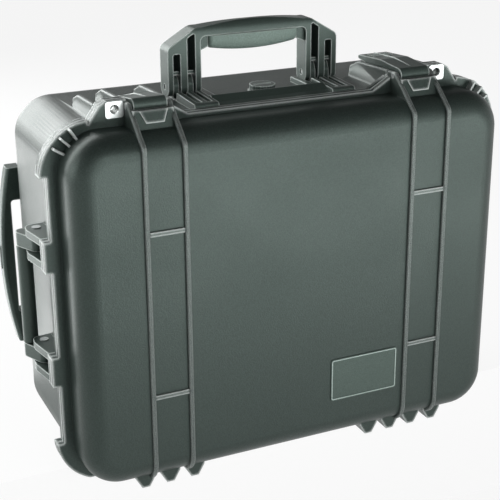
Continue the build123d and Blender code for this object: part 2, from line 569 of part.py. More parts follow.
# ---- carry handle ------------------------------------------------------------------------------
LEG_FRONT = GRIP_PIVOT_D - HANDLE_T / 2 - 6         # the bracket's blocks end here
BLOCK_GROOVES = (BLOCK_X + 8.0, BRACKET_HALF - 9.0)
with BuildPart() as handle_bracket:
    slab(top(HALF_H), [(-BRACKET_HALF, BRACKET_FRONT), (BRACKET_HALF, BRACKET_FRONT),
                       (BRACKET_HALF, BRACKET_BACK), (NOTCH_HALF, BRACKET_BACK),
                       (NOTCH_HALF, BRACKET_BAR_BACK), (-NOTCH_HALF, BRACKET_BAR_BACK),
                       (-NOTCH_HALF, BRACKET_BACK), (-BRACKET_HALF, BRACKET_BACK)],
         BRACKET_T, radii=[3, 3, 3, 3, 5, 5, 3, 3])
    slab(side(-BLOCK_X - 1), [(BRACKET_FRONT, HALF_H + 1), (BRACKET_FRONT, HALF_H + BRACKET_T),
                              (BRACKET_FRONT + 11, HALF_H + BAR_T),
                              (BRACKET_BAR_BACK - 3, HALF_H + BAR_CREST),
                              (BRACKET_BAR_BACK, HALF_H + BAR_CREST),
                              (BRACKET_BAR_BACK, HALF_H + 1)], 2 * BLOCK_X + 2,
         radii=[0, 1.5, 4, 1.2, 1.2, 0])
    for end in SIDES:
        x0, x1 = sorted((end * NOTCH_HALF, end * (LEG_IN - CLEAR)))
        block(x0, x1, BRACKET_BAR_BACK - 1, BRACKET_BACK - 3, HALF_H + 1, HALF_H + STRIP_T)
        x0, x1 = sorted((end * BLOCK_X, end * BRACKET_HALF))
        slab(side(x0), [(BRACKET_FRONT, HALF_H + 1), (BRACKET_FRONT, HALF_H + BLOCK_T[0]),
                        (LEG_FRONT, HALF_H + BLOCK_T[1]), (LEG_FRONT, HALF_H + 1)], x1 - x0,
             radii=[0, 3, 1.5, 0])
    for groove_x in BLOCK_GROOVES:      # grooves running forward from the legs
        for end in SIDES:
            block(end * groove_x - 3, end * groove_x + 3, BRACKET_FRONT + 8, LEG_FRONT + 1,
                  HALF_H + 6.5, HALF_H + 20, mode=Mode.SUBTRACT)
    for x0, x1 in ((-LEG_OUT - 1, CLEAR - LEG_IN), (LEG_IN - CLEAR, LEG_OUT + 1)):
        block(x0, x1, LEG_FRONT, GRIP_PIVOT_D + HANDLE_T / 2 + 1, HALF_H + 1.5, HALF_H + 20,
              mode=Mode.SUBTRACT)
    for slot_x in SLOT_X:
        for end in SIDES:
            x = end * slot_x
            with BuildSketch(side(x - LUG_W / 2)) as lug:
                with Locations((GRIP_PIVOT_D, GRIP_PIVOT_Z)):
                    Circle(LUG_R)
                with Locations((GRIP_PIVOT_D, GRIP_PIVOT_Z + LUG_RISE)):
                    Circle(LUG_TOP_R)
                make_hull()
                with Locations((GRIP_PIVOT_D, (HALF_H + 1 + GRIP_PIVOT_Z) / 2)):
                    Rectangle(2 * LUG_R, GRIP_PIVOT_Z - HALF_H - 1)
            extrude(lug.sketch, amount=LUG_W)
    for end in SIDES:
        x0, x1 = sorted((end * (SLOT_X[0] - 10), end * (SLOT_X[1] + 10)))
        bar_x(x0, x1, GRIP_PIVOT_D, GRIP_PIVOT_Z, HANDLE_PIN_R + FIT, mode=Mode.SUBTRACT)
    for screw_x, screw_d in BRACKET_SCREWS:
        bar_z(screw_x, screw_d, HALF_H - 1, HALF_H + 3.2, 2.0 + FIT, mode=Mode.SUBTRACT)
save(handle_bracket, "handle_bracket")

with BuildPart() as bracket_screws:     # pan-head screws from inside the base
    for screw_x, screw_d in BRACKET_SCREWS:
        bar_z(screw_x, screw_d, HALF_H - WALL - 2.5, HALF_H - WALL, 4.0)
        bar_z(screw_x, screw_d, HALF_H - WALL - 1, HALF_H + 3.0, 2.0)
save(bracket_screws, "bracket_screws")

LEG_BOTTOM = GRIP_PIVOT_Z - LEG_R
BAR_UNDER = HANDLE_TOP - 14.0
GRIP_HALF = LEG_IN - 11.0
GRIP_UNDER = BAR_UNDER - 19.8
GRIP_END = 14.5           # depth of the grip's ends
with BuildPart() as handle_frame:
    slab(front(GRIP_PIVOT_D + HANDLE_T / 2),
         [(-LEG_OUT, LEG_BOTTOM), (LEG_OUT, LEG_BOTTOM), (LEG_OUT, ELBOW_Z), (SHOULDER_X, SHOULDER_Z),
          (-SHOULDER_X, SHOULDER_Z), (-LEG_OUT, ELBOW_Z)], HANDLE_T, radii=[0, 0, 8, 12, 12, 8])
    with BuildSketch(front(GRIP_PIVOT_D + HANDLE_T / 2)) as crown_arc:
        with BuildLine():
            ThreePointArc((-SHOULDER_X + 4, SHOULDER_Z - 0.6), (0, HANDLE_TOP),
                          (SHOULDER_X - 4, SHOULDER_Z - 0.6))
            Polyline((SHOULDER_X - 4, SHOULDER_Z - 0.6), (0, SHOULDER_Z - 8),
                     (-SHOULDER_X + 4, SHOULDER_Z - 0.6))
        make_face()
    extrude(crown_arc.sketch, amount=HANDLE_T)
    slab(front(GRIP_PIVOT_D + HANDLE_T),
         [(-LEG_IN, LEG_BOTTOM - 5), (LEG_IN, LEG_BOTTOM - 5), (LEG_IN, BAR_UNDER),
          (-LEG_IN, BAR_UNDER)], 2 * HANDLE_T, mode=Mode.SUBTRACT, radii=[0, 0, 6, 6])
    for end in SIDES:                   # gussets between the legs and the grip
        slab(front(GRIP_PIVOT_D + HANDLE_T / 2 - 5),
             [(end * (LEG_IN + 1), BAR_UNDER - GRIP_END - 3), (end * (LEG_IN + 1), BAR_UNDER + 1),
              (end * GRIP_HALF, BAR_UNDER + 1), (end * GRIP_HALF, BAR_UNDER - GRIP_END + 1.5)][::end],
             HANDLE_T - 10)
    slab(side(-LEG_OUT - 1),            # rounded feet and a softened top, seen from the end
         [(GRIP_PIVOT_D - HANDLE_T / 2, LEG_BOTTOM), (GRIP_PIVOT_D + HANDLE_T / 2, LEG_BOTTOM),
          (GRIP_PIVOT_D + HANDLE_T / 2, HANDLE_TOP + 0.2), (GRIP_PIVOT_D - HANDLE_T / 2, HANDLE_TOP + 0.2)],
         2 * LEG_OUT + 2, mode=Mode.INTERSECT, radii=[10, 10, 11, 11])
    for slot_x, slot_w, slot_top, fall in zip(SLOT_X, SLOT_W, (HANDLE_TOP - 9, HANDLE_TOP - 31.5),
                                              (6.0, 0.0)):
        for end in SIDES:               # the inner slot's top falls with the handle's shoulder
            x0, x1 = end * (slot_x - slot_w / 2), end * (slot_x + slot_w / 2)
            slab(front(GRIP_PIVOT_D + HANDLE_T / 2 - 4),
                 [(x0, LEG_BOTTOM - 5), (x1, LEG_BOTTOM - 5), (x1, slot_top - fall),
                  (x0, slot_top)][::end], HANDLE_T, mode=Mode.SUBTRACT,
                 radii=[0, 0, 2, 2][::end])
            x0, x1 = sorted((x0, x1))       # opened at the back too, where the lug passes
            block(x0, x1, GRIP_PIVOT_D, GRIP_PIVOT_D + HANDLE_T / 2 + 1, LEG_BOTTOM - 1,
                  GRIP_PIVOT_Z + LUG_RISE + LUG_TOP_R + 2, mode=Mode.SUBTRACT)
    for end in SIDES:                   # ledge across the slots above the lugs
        x0, x1 = sorted((end * (SLOT_X[0] - 6), end * (SLOT_X[1] + 6)))
        block(x0, x1, GRIP_PIVOT_D - 6, GRIP_PIVOT_D + 9, GRIP_PIVOT_Z + LUG_RISE + LUG_TOP_R + 2.4,
              GRIP_PIVOT_Z + LUG_RISE + LUG_TOP_R + 6)
        x0, x1 = sorted((end * (LEG_IN - 1), end * (LEG_OUT + 1)))
        bar_x(x0, x1, GRIP_PIVOT_D, GRIP_PIVOT_Z, HANDLE_PIN_R + RUN, mode=Mode.SUBTRACT)
save(handle_frame, "handle_frame")

with BuildPart() as handle_grip:        # soft grip swelling under the bar
    with BuildSketch(front(GRIP_PIVOT_D + HANDLE_T / 2 + 2)) as swell:
        with BuildLine():
            ThreePointArc((-GRIP_HALF, BAR_UNDER - GRIP_END), (0, GRIP_UNDER),
                          (GRIP_HALF, BAR_UNDER - GRIP_END))
            Polyline((GRIP_HALF, BAR_UNDER - GRIP_END), (GRIP_HALF, BAR_UNDER),
                     (-GRIP_HALF, BAR_UNDER), (-GRIP_HALF, BAR_UNDER - GRIP_END))
        make_face()
    extrude(swell.sketch, amount=HANDLE_T + 4)
    long_edges = handle_grip.edges().filter_by(lambda e: e.length > GRIP_HALF)
    fillet(long_edges.filter_by(lambda e: e.center().Z < MID_Z + BAR_UNDER - 2), 7)
save(handle_grip, "handle_grip")

with BuildPart() as handle_pins:
    for end in SIDES:
        x0, x1 = sorted((end * (LEG_IN + 1), end * (LEG_OUT - 1)))
        bar_x(x0, x1, GRIP_PIVOT_D, GRIP_PIVOT_Z, HANDLE_PIN_R)
save(handle_pins, "handle_pins")

# ---- pressure valve ----------------------------------------------------------------------------
KNOB_SPIGOT = 4.0
with BuildPart() as valve_body:
    bar_z(VALVE_X, VALVE_D, HALF_H, HALF_H + 4.5, VALVE_R)
    bar_z(VALVE_X, VALVE_D, HALF_H - WALL - 5.8, HALF_H + 1, VALVE_STEM_R)
    chamfer(valve_body.faces().sort_by(Axis.Z)[-1].edges(), 1.2)
    bar_z(VALVE_X, VALVE_D, HALF_H - 4, HALF_H + 6, KNOB_SPIGOT + RUN, mode=Mode.SUBTRACT)
save(valve_body, "valve_body")

with BuildPart() as valve_knob:         # lobed vent knob
    bar_z(VALVE_X, VALVE_D, HALF_H + 4.5 + CLEAR, HALF_H + 10, VALVE_R - 2)
    with Locations(at(VALVE_X, VALVE_D, HALF_H + 8)):
        with PolarLocations(VALVE_R - 1.2, 14):
            Cylinder(1.6, 12, mode=Mode.SUBTRACT)
    bar_z(VALVE_X, VALVE_D, HALF_H - 3.5, HALF_H + 5, KNOB_SPIGOT)
    block(VALVE_X - 10, VALVE_X + 10, VALVE_D - 2, VALVE_D + 2, HALF_H + 8, HALF_H + 11, mode=Mode.SUBTRACT)
save(valve_knob, "valve_knob")

with BuildPart() as valve_nut:
    with BuildSketch(top(HALF_H - WALL - 5)) as hexagon:
        with Locations((VALVE_X, VALVE_D)):
            RegularPolygon(12.5, 6)
            Circle(VALVE_STEM_R + RUN, mode=Mode.SUBTRACT)
    extrude(hexagon.sketch, amount=5)
save(valve_nut, "valve_nut")

# ---- side handle on the left end ---------------------------------------------------------------
FORK_D = 8.6
with BuildPart() as side_handle_mounts:
    for way in SIDES:
        z0, z1 = sorted((way * SIDE_Z0, way * SIDE_Z1))
        for plate_z in (z0, z1 - SIDE_FORK):
            slab(top(plate_z), [(-HALF_L, FORK_D), (SIDE_PIVOT_X - 6, FORK_D),
                                (SIDE_PIVOT_X - 12, SIDE_PIVOT_D - 4), (SIDE_PIVOT_X - 11, SIDE_PIVOT_D + 11),
                                (-HALF_L, SIDE_PIVOT_D + 14)], SIDE_FORK, radii=[0, 2, 8, 9, 0])
        block(-HALF_L - SIDE_PAD, -HALF_L, FORK_D, SIDE_PIVOT_D + 12, z0 + 1, z1 - 1)
        bar_z(SIDE_PIVOT_X, SIDE_PIVOT_D, z0 - 1, z1 + 1, SIDE_PIN_R + FIT, mode=Mode.SUBTRACT)
save(side_handle_mounts, "side_handle_mounts")

with BuildPart() as side_handle_pins:   # headed pins put in from above
    for way in SIDES:
        z0, z1 = sorted((way * SIDE_Z0, way * SIDE_Z1))
        bar_z(SIDE_PIVOT_X, SIDE_PIVOT_D, z0 + 0.5, z1 + 0.5, SIDE_PIN_R)
        bar_z(SIDE_PIVOT_X, SIDE_PIVOT_D, z1, z1 + 0.9, 5.0)
save(side_handle_pins, "side_handle_pins")

TONGUE_Z0, TONGUE_Z1 = SIDE_Z0 + SIDE_FORK + 0.8, SIDE_Z1 - SIDE_FORK - 0.8
CORE_R = SIDE_GRIP_R - 2.5
with BuildPart() as side_handle_frame:
    for way in SIDES:
        z0, z1 = sorted((way * TONGUE_Z0, way * TONGUE_Z1))
        with BuildSketch(top(z0)) as arm:
            with Locations((SIDE_PIVOT_X, SIDE_PIVOT_D), (SIDE_GRIP_X, SIDE_GRIP_D)):
                Circle(SIDE_GRIP_R - 0.5)
            make_hull()
        extrude(arm.sketch, amount=z1 - z0)
        bar_z(SIDE_PIVOT_X, SIDE_PIVOT_D, z0 - 1, z1 + 1, SIDE_PIN_R + RUN, mode=Mode.SUBTRACT)
    bar_z(SIDE_GRIP_X, SIDE_GRIP_D, -TONGUE_Z0 - 1, TONGUE_Z0 + 1, CORE_R)
save(side_handle_frame, "side_handle_frame")

with BuildPart() as side_handle_sleeve:
    reach = TONGUE_Z0 - CLEAR
    bar_z(SIDE_GRIP_X, SIDE_GRIP_D, -reach, reach, SIDE_GRIP_R)
    chamfer(side_handle_sleeve.edges(), 1.2)
    bar_z(SIDE_GRIP_X, SIDE_GRIP_D, -reach - 1, reach + 1, CORE_R + FIT, mode=Mode.SUBTRACT)
save(side_handle_sleeve, "side_handle_sleeve")

# ---- pull handle on the back -------------------------------------------------------------------
def tube(x0, x1, way, size, mode=Mode.ADD):
    """A rectangular bar along X on one of the two rails; size is (height, depth)."""
    block(x0, x1, RAIL_D - size[1] / 2, RAIL_D + size[1] / 2, way * RAIL_Z - size[0] / 2,
          way * RAIL_Z + size[0] / 2, mode=mode)


def hollow(x0, x1, size):
    """Both rails' tubes from x0 to x1."""
    for way in SIDES:
        tube(x0, x1, way, size)
        tube(x0 - 1, x1 + 1, way, tuple(v - 2 * TUBE_WALL for v in size), mode=Mode.SUBTRACT)


with BuildPart() as trolley_housing:
    block(HOUSING_X0, HOUSING_X1, BASE_D, REAR_REACH, -HOUSING_HALF, HOUSING_HALF)
    fillet(trolley_housing.edges().filter_by(Axis.Y), 10)
    fillet(trolley_housing.faces().sort_by(Axis.Y)[-1].edges(), 3)
    block(HOUSING_X0 + 25, HOUSING_X1 - 25, BASE_D + 4, REAR_REACH + 1, 18 - RAIL_Z, RAIL_Z - 18,
          mode=Mode.SUBTRACT)
    for way in SIDES:
        tube(HOUSING_X0 - 1, HOUSING_X1 - 4, way, tuple(v + 2 * CLEAR for v in OUTER_TUBE),
             mode=Mode.SUBTRACT)
    for screw_x, screw_z in HOUSING_SCREWS:
        bar_y(screw_x, BASE_D - 1, REAR_REACH + 1, screw_z, 2.0 + FIT, mode=Mode.SUBTRACT)
        bar_y(screw_x, REAR_REACH - 3, REAR_REACH + 1, screw_z, 4.2, mode=Mode.SUBTRACT)
save(trolley_housing, "trolley_housing")

with BuildPart() as trolley_screws:
    for screw_x, screw_z in HOUSING_SCREWS:
        bar_y(screw_x, BASE_D - 3, REAR_REACH - 2, screw_z, 2.0)
        bar_y(screw_x, REAR_REACH - 3, REAR_REACH - 0.6, screw_z, 4.0)
save(trolley_screws, "trolley_screws")

with BuildPart() as trolley_outer_tubes:
    hollow(HOUSING_X0 + 2, HOUSING_X1 - 5, OUTER_TUBE)
save(trolley_outer_tubes, "trolley_outer_tubes")

PULL_LEG_X, SOCKET = 9.0 - HALF_L, 6.0
with BuildPart() as pull_tubes:
    hollow(PULL_LEG_X - SOCKET, HOUSING_X1 - 15, INNER_TUBE)
save(pull_tubes, "pull_tubes")

BUTTON = (29.4, 9.4)                    # along the grip, across it
with BuildPart() as pull_grip:
    with BuildSketch(front(REAR_REACH)) as bow:
        with BuildLine():
            ThreePointArc((PULL_END_X, -PULL_HALF), (PULL_BOW_X, 0), (PULL_END_X, PULL_HALF))
            Polyline((PULL_END_X, PULL_HALF), (PULL_LEG_X, PULL_HALF), (PULL_LEG_X, -PULL_HALF),
                     (PULL_END_X, -PULL_HALF))
        make_face()
        with Locations(((PULL_END_X + 2 + PULL_LEG_X + 5) / 2, 0)):
            RectangleRounded(PULL_LEG_X - PULL_END_X + 3, 144, 4, mode=Mode.SUBTRACT)
    extrude(bow.sketch, amount=REAR_REACH - BASE_D + 1)
    outer_edges = pull_grip.faces().sort_by(Axis.X)[0].edges().filter_by(lambda e: e.length > 30)
    fillet(outer_edges, 4)
    for way in SIDES:
        tube(PULL_LEG_X - SOCKET, PULL_LEG_X + 1, way, tuple(v + 0.1 for v in INNER_TUBE),
             mode=Mode.SUBTRACT)
    block(PULL_BOW_X - 1, PULL_BOW_X + 8.5, RAIL_D - BUTTON[1] / 2 - CLEAR,
          RAIL_D + BUTTON[1] / 2 + CLEAR, -BUTTON[0] / 2 - CLEAR, BUTTON[0] / 2 + CLEAR,
          mode=Mode.SUBTRACT)
save(pull_grip, "pull_grip")

with BuildPart() as release_button:
    block(PULL_BOW_X - 1.5, PULL_BOW_X + 5, RAIL_D - BUTTON[1] / 2, RAIL_D + BUTTON[1] / 2,
          -BUTTON[0] / 2, BUTTON[0] / 2)
    fillet(release_button.faces().sort_by(Axis.X)[0].edges(), 1.2)
save(release_button, "release_button")

# ---- wheels at the right end -------------------------------------------------------------------
with BuildPart() as wheel_housings:
    for way in SIDES:
        middle = way * WHEEL_Z
        half = WELL[2] - CLEAR
        outline = [(WELL[0] + CLEAR, WELL[1] + CLEAR), (HALF_L + 2, WELL[1] + CLEAR),
                   (HALF_L + 2, WHEEL_D - 2), (WHEEL_X + 1, BASE_D + 2), (WELL[0] + CLEAR, BASE_D + 2)]
        for z0 in (middle - half, middle + half - CHEEK):
            slab(top(z0), outline, CHEEK, radii=[2, 3, 12, 12, 3])
        block(WELL[0] + CLEAR, WELL[0] + 3.3, WELL[1] + CLEAR + 2, BASE_D - 1, middle - half,
              middle + half)
        block(WELL[0] + CLEAR + 2, HALF_L - 1, WELL[1] + CLEAR, WELL[1] + 3.3, middle - half,
              middle + half)
        bar_z(WHEEL_X, WHEEL_D, middle - half - 1, middle + half + 1, AXLE_R + FIT,
              mode=Mode.SUBTRACT)
save(wheel_housings, "wheel_housings")

with BuildPart() as wheel_axles:
    for way in SIDES:
        half = WELL[2] - CLEAR
        bar_z(WHEEL_X, WHEEL_D, way * WHEEL_Z - half, way * WHEEL_Z + half, AXLE_R)
save(wheel_axles, "wheel_axles")

HUB_R, BEARING_R, BEARING_W = WHEEL_R - 8.0, AXLE_R + 4.0, 5.0
for way, name in ((1, "upper"), (-1, "lower")):
    middle = way * WHEEL_Z
    with BuildPart() as tyre:
        bar_z(WHEEL_X, WHEEL_D, middle - WHEEL_W / 2, middle + WHEEL_W / 2, WHEEL_R)
        fillet(tyre.edges(), 4)
        bar_z(WHEEL_X, WHEEL_D, middle - WHEEL_W, middle + WHEEL_W, HUB_R, mode=Mode.SUBTRACT)
    save(tyre, f"{name}_wheel_tyre")

    with BuildPart() as hub:
        bar_z(WHEEL_X, WHEEL_D, middle - WHEEL_W / 2 + 1, middle + WHEEL_W / 2 - 1, HUB_R - RUN)
        for z0, z1 in ((middle + 5, middle + WHEEL_W), (middle - WHEEL_W, middle - 5)):
            bar_z(WHEEL_X, WHEEL_D, z0, z1, HUB_R - 3, mode=Mode.SUBTRACT)
        bar_z(WHEEL_X, WHEEL_D, middle - WHEEL_W / 2, middle + WHEEL_W / 2, BEARING_R + 2.5)
        with Locations(at(WHEEL_X, WHEEL_D, middle)):
            with PolarLocations((HUB_R - 3 + BEARING_R + 2.5) / 2, 6):
                Cylinder(3.2, WHEEL_W, mode=Mode.SUBTRACT)
        bar_z(WHEEL_X, WHEEL_D, middle - WHEEL_W, middle + WHEEL_W, AXLE_R + 0.5,
              mode=Mode.SUBTRACT)
        for z0, z1 in ((middle + WHEEL_W / 2 - BEARING_W, middle + WHEEL_W),
                       (middle - WHEEL_W, middle - WHEEL_W / 2 + BEARING_W)):
            bar_z(WHEEL_X, WHEEL_D, z0, z1, BEARING_R + FIT, mode=Mode.SUBTRACT)
    save(hub, f"{name}_wheel_hub")

    with BuildPart() as bearings:
        for z0, z1 in ((middle + WHEEL_W / 2 - BEARING_W, middle + WHEEL_W / 2),
                       (middle - WHEEL_W / 2, middle - WHEEL_W / 2 + BEARING_W)):
            bar_z(WHEEL_X, WHEEL_D, z0, z1, BEARING_R)
            bar_z(WHEEL_X, WHEEL_D, z0 - 1, z1 + 1, AXLE_R + RUN, mode=Mode.SUBTRACT)
    save(bearings, f"{name}_wheel_bearings")
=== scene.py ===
"""Looks of a wheeled laptop hard case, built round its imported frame."""

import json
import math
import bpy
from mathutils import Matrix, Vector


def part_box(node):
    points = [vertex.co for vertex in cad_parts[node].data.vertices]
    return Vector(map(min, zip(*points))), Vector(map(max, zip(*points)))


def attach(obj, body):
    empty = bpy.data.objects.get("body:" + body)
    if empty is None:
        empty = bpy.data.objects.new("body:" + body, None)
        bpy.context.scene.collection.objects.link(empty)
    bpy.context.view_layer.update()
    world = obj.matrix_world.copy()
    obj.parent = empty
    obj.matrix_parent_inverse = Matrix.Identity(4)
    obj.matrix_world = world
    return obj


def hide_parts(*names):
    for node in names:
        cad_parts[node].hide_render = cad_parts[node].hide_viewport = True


bl_info = {
    "name": "Laptop Hard Case",
    "version": (1, 0, 0),
    "blender": (4, 5, 0),
    "location": "View3D > Sidebar > Hard Case",
    "description": "Finishes, foam, gasket, screws and grips of a wheeled laptop hard case",
    "category": "Add Mesh",
}

import bmesh
import bpy
from bpy.props import FloatProperty, IntProperty, PointerProperty, StringProperty
from mathutils import Matrix, Vector

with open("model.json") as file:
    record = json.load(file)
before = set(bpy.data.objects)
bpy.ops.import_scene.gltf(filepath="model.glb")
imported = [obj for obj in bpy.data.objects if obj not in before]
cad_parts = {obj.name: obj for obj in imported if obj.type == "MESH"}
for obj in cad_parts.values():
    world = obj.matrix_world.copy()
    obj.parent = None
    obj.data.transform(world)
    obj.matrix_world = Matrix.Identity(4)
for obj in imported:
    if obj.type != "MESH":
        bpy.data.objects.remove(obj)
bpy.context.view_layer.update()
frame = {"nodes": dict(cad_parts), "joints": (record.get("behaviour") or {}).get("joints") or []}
NODES = frame["nodes"]
MM = 0.001
# vertices closer than this are one: in a CAD mesh, in a mesh made here, in joined mouldings
CAD_WELD, MADE_WELD, JOIN_WELD = 0.002 * MM, 0.001 * MM, 0.005 * MM


# ---- sizes and colours a user would change -----------------------------------------------------
class CaseColours(bpy.types.PropertyGroup):
    """Colours of the case, as sRGB hex values"""

    shell: StringProperty(name="Shell", description="Moulded shells", default="#28302D")
    fittings: StringProperty(name="Fittings", description="Latches, handles and brackets",
                             default="#3A4440")
    grip: StringProperty(name="Soft grips", description="Rubber grips", default="#76867F")
    foam: StringProperty(name="Foam", description="Foam inside both shells", default="#2C2D2F")
    label: StringProperty(name="Label plate", description="Bare plate on the lid",
                          default="#46524D")
    floor: StringProperty(name="Floor", description="Studio floor", default="#F2F4F3")


class CaseSizes(bpy.types.PropertyGroup):
    """Sizes of the details added to the case"""

    foam_pitch: FloatProperty(name="Foam pitch", description="Distance between foam peaks",
                              default=0.038, min=0.01, unit="LENGTH")
    foam_relief: FloatProperty(name="Foam relief", description="Half the height of a foam peak",
                               default=0.0075, min=0.001, unit="LENGTH")
    foam_round: FloatProperty(name="Foam rounding", description="Rounding of cut foam edges",
                              default=0.0025, min=0.0005, unit="LENGTH")
    grain: FloatProperty(name="Mould grain", description="Spacing of the moulded grain",
                         default=0.0016, min=0.0002, unit="LENGTH")
    edge: FloatProperty(name="Edge softness", description="Rounding seen on moulded edges",
                        default=0.0014, min=0.0001, unit="LENGTH")
    thumb_ridges: IntProperty(name="Thumb ridges", description="Ridges on each latch lever",
                              default=4, min=1)
    back_ribs: IntProperty(name="Back ribs", description="Ribs in the back recess", default=5,
                           min=2)


# ---- materials -----------------------------------------------------------------------------------
def linear(code):
    """An sRGB hex colour as linear RGBA."""
    parts = [int(code.lstrip("#")[i:i + 2], 16) / 255 for i in (0, 2, 4)]
    return [c / 12.92 if c <= 0.04045 else ((c + 0.055) / 1.055) ** 2.4 for c in parts] + [1.0]


def add_node(tree, kind, links=None, values=None, **settings):
    """Add a node with its settings, input values and links from other nodes' outputs."""
    made = tree.nodes.new(kind)
    for key, value in settings.items():
        setattr(made, key, value)
    for key, value in (values or {}).items():
        made.inputs[key].default_value = value
    for key, source in (links or {}).items():
        tree.links.new(source, made.inputs[key])
    return made


def new_material(name):
    """An empty node material with its output, and the surface's Object coordinates."""
    material = bpy.data.materials.new(name)
    material.use_nodes = True
    tree = material.node_tree
    tree.nodes.clear()
    output = add_node(tree, "ShaderNodeOutputMaterial")
    place = add_node(tree, "ShaderNodeTexCoord").outputs["Object"]
    return material, tree, output, place


def moulded_plastic(name, code, roughness, grain, depth, highlight_strength, edge, reach=1.6 * MM):
    """Moulded plastic or rubber: pitted grain, cloudy gloss, and crests and corners painted paler as a
    highlight.

    The pits are about grain apart and depth deep. Edges look rounded by edge. The painted highlight at
    a crest or corner is a band about reach wide, and the argument before edge says how pale it gets.
    """
    material, tree, output, place = new_material(name)
    clouds = add_node(tree, "ShaderNodeTexNoise", {"Vector": place},
                      {"Scale": 9.0, "Detail": 4.0, "Roughness": 0.6})
    pits = add_node(tree, "ShaderNodeTexNoise", {"Vector": place},
                    {"Scale": 1 / grain, "Detail": 2.0, "Roughness": 0.65})
    soft = add_node(tree, "ShaderNodeBevel", values={"Radius": edge}, samples=4)
    # rays into the material soon meet another face at crests and corners, so the value falls there
    crest = add_node(tree, "ShaderNodeAmbientOcclusion", values={"Distance": reach}, samples=6,
                     inside=True, only_local=True)
    # where the value falls, the colour is mixed towards a paler one: a painted highlight on crests and
    # corners
    painted_highlight = add_node(tree, "ShaderNodeMapRange", {"Value": crest.outputs["AO"]},
                      {"From Min": 0.9, "From Max": 0.55, "To Min": 0.0, "To Max": highlight_strength})
    tone = add_node(tree, "ShaderNodeMapRange", {"Value": clouds.outputs["Fac"]},
                    {"From Min": 0.3, "From Max": 0.7, "To Min": 0.93, "To Max": 1.07})
    speck = add_node(tree, "ShaderNodeMapRange", {"Value": pits.outputs["Fac"]},
                     {"From Min": 0.3, "From Max": 0.7, "To Min": 0.68, "To Max": 1.32})
    shade = add_node(tree, "ShaderNodeMath",
                     {0: tone.outputs["Result"], 1: speck.outputs["Result"]}, operation="MULTIPLY")
    body = add_node(tree, "ShaderNodeVectorMath", {"Scale": shade.outputs["Value"]},
                    {0: linear(code)[:3]}, operation="SCALE")
    # the paler colour of the painted highlight on crests and corners
    pale = [min(1.0, c * 4.0 + 0.5) for c in linear(code)[:3]]
    # sockets 4 and 5 and result 1 are the vector ones of a Mix node
    colour = add_node(tree, "ShaderNodeMix",
                      {"Factor": painted_highlight.outputs["Result"], 4: body.outputs["Vector"]}, {5: pale},
                      data_type="VECTOR")
    gloss = add_node(tree, "ShaderNodeMapRange", {"Value": clouds.outputs["Fac"]},
                     {"From Min": 0.3, "From Max": 0.7, "To Min": roughness - 0.04,
                      "To Max": roughness + 0.05})
    bump = add_node(tree, "ShaderNodeBump",
                    {"Height": pits.outputs["Fac"], "Normal": soft.outputs["Normal"]},
                    {"Strength": 1.0, "Distance": depth})
    shader = add_node(tree, "ShaderNodeBsdfPrincipled",
                      {"Base Color": colour.outputs[1], "Roughness": gloss.outputs["Result"],
                       "Normal": bump.outputs["Normal"]},
                      {"IOR": 1.49, "Specular Tint": (0.8, 1.0, 0.92, 1.0)})
    tree.links.new(shader.outputs["BSDF"], output.inputs["Surface"])
    return material


def brushed_metal(name, code, roughness, line, along=(1, 1, 30)):
    """Rolled, drawn or ground metal: fine scratches that run one way, a little smudged.

    A scratch is about line long, and along says how many times finer the pattern is on each axis.
    """
    material, tree, output, place = new_material(name)
    stretch = add_node(tree, "ShaderNodeMapping", {"Vector": place}, {"Scale": along})
    lines = add_node(tree, "ShaderNodeTexNoise", {"Vector": stretch.outputs["Vector"]},
                     {"Scale": 1 / line, "Detail": 3.0, "Roughness": 0.7})
    smudge = add_node(tree, "ShaderNodeTexNoise", {"Vector": place},
                      {"Scale": 60.0, "Detail": 3.0})
    both = add_node(tree, "ShaderNodeMath",
                    {0: lines.outputs["Fac"], 1: smudge.outputs["Fac"]}, operation="ADD")
    gloss = add_node(tree, "ShaderNodeMapRange", {"Value": both.outputs["Value"]},
                     {"From Min": 0.6, "From Max": 1.4, "To Min": roughness - 0.08,
                      "To Max": roughness + 0.1})
    tint = add_node(tree, "ShaderNodeMapRange", {"Value": lines.outputs["Fac"]},
                    {"From Min": 0.3, "From Max": 0.7, "To Min": 0.9, "To Max": 1.05})
    colour = add_node(tree, "ShaderNodeVectorMath", {"Scale": tint.outputs["Result"]},
                      {0: linear(code)[:3]}, operation="SCALE")
    bump = add_node(tree, "ShaderNodeBump", {"Height": lines.outputs["Fac"]},
                    {"Strength": 0.4, "Distance": 0.03 * MM})
    shader = add_node(tree, "ShaderNodeBsdfPrincipled",
                      {"Base Color": colour.outputs["Vector"], "Roughness": gloss.outputs["Result"],
                       "Normal": bump.outputs["Normal"]}, {"Metallic": 1.0})
    tree.links.new(shader.outputs["BSDF"], output.inputs["Surface"])
    return material


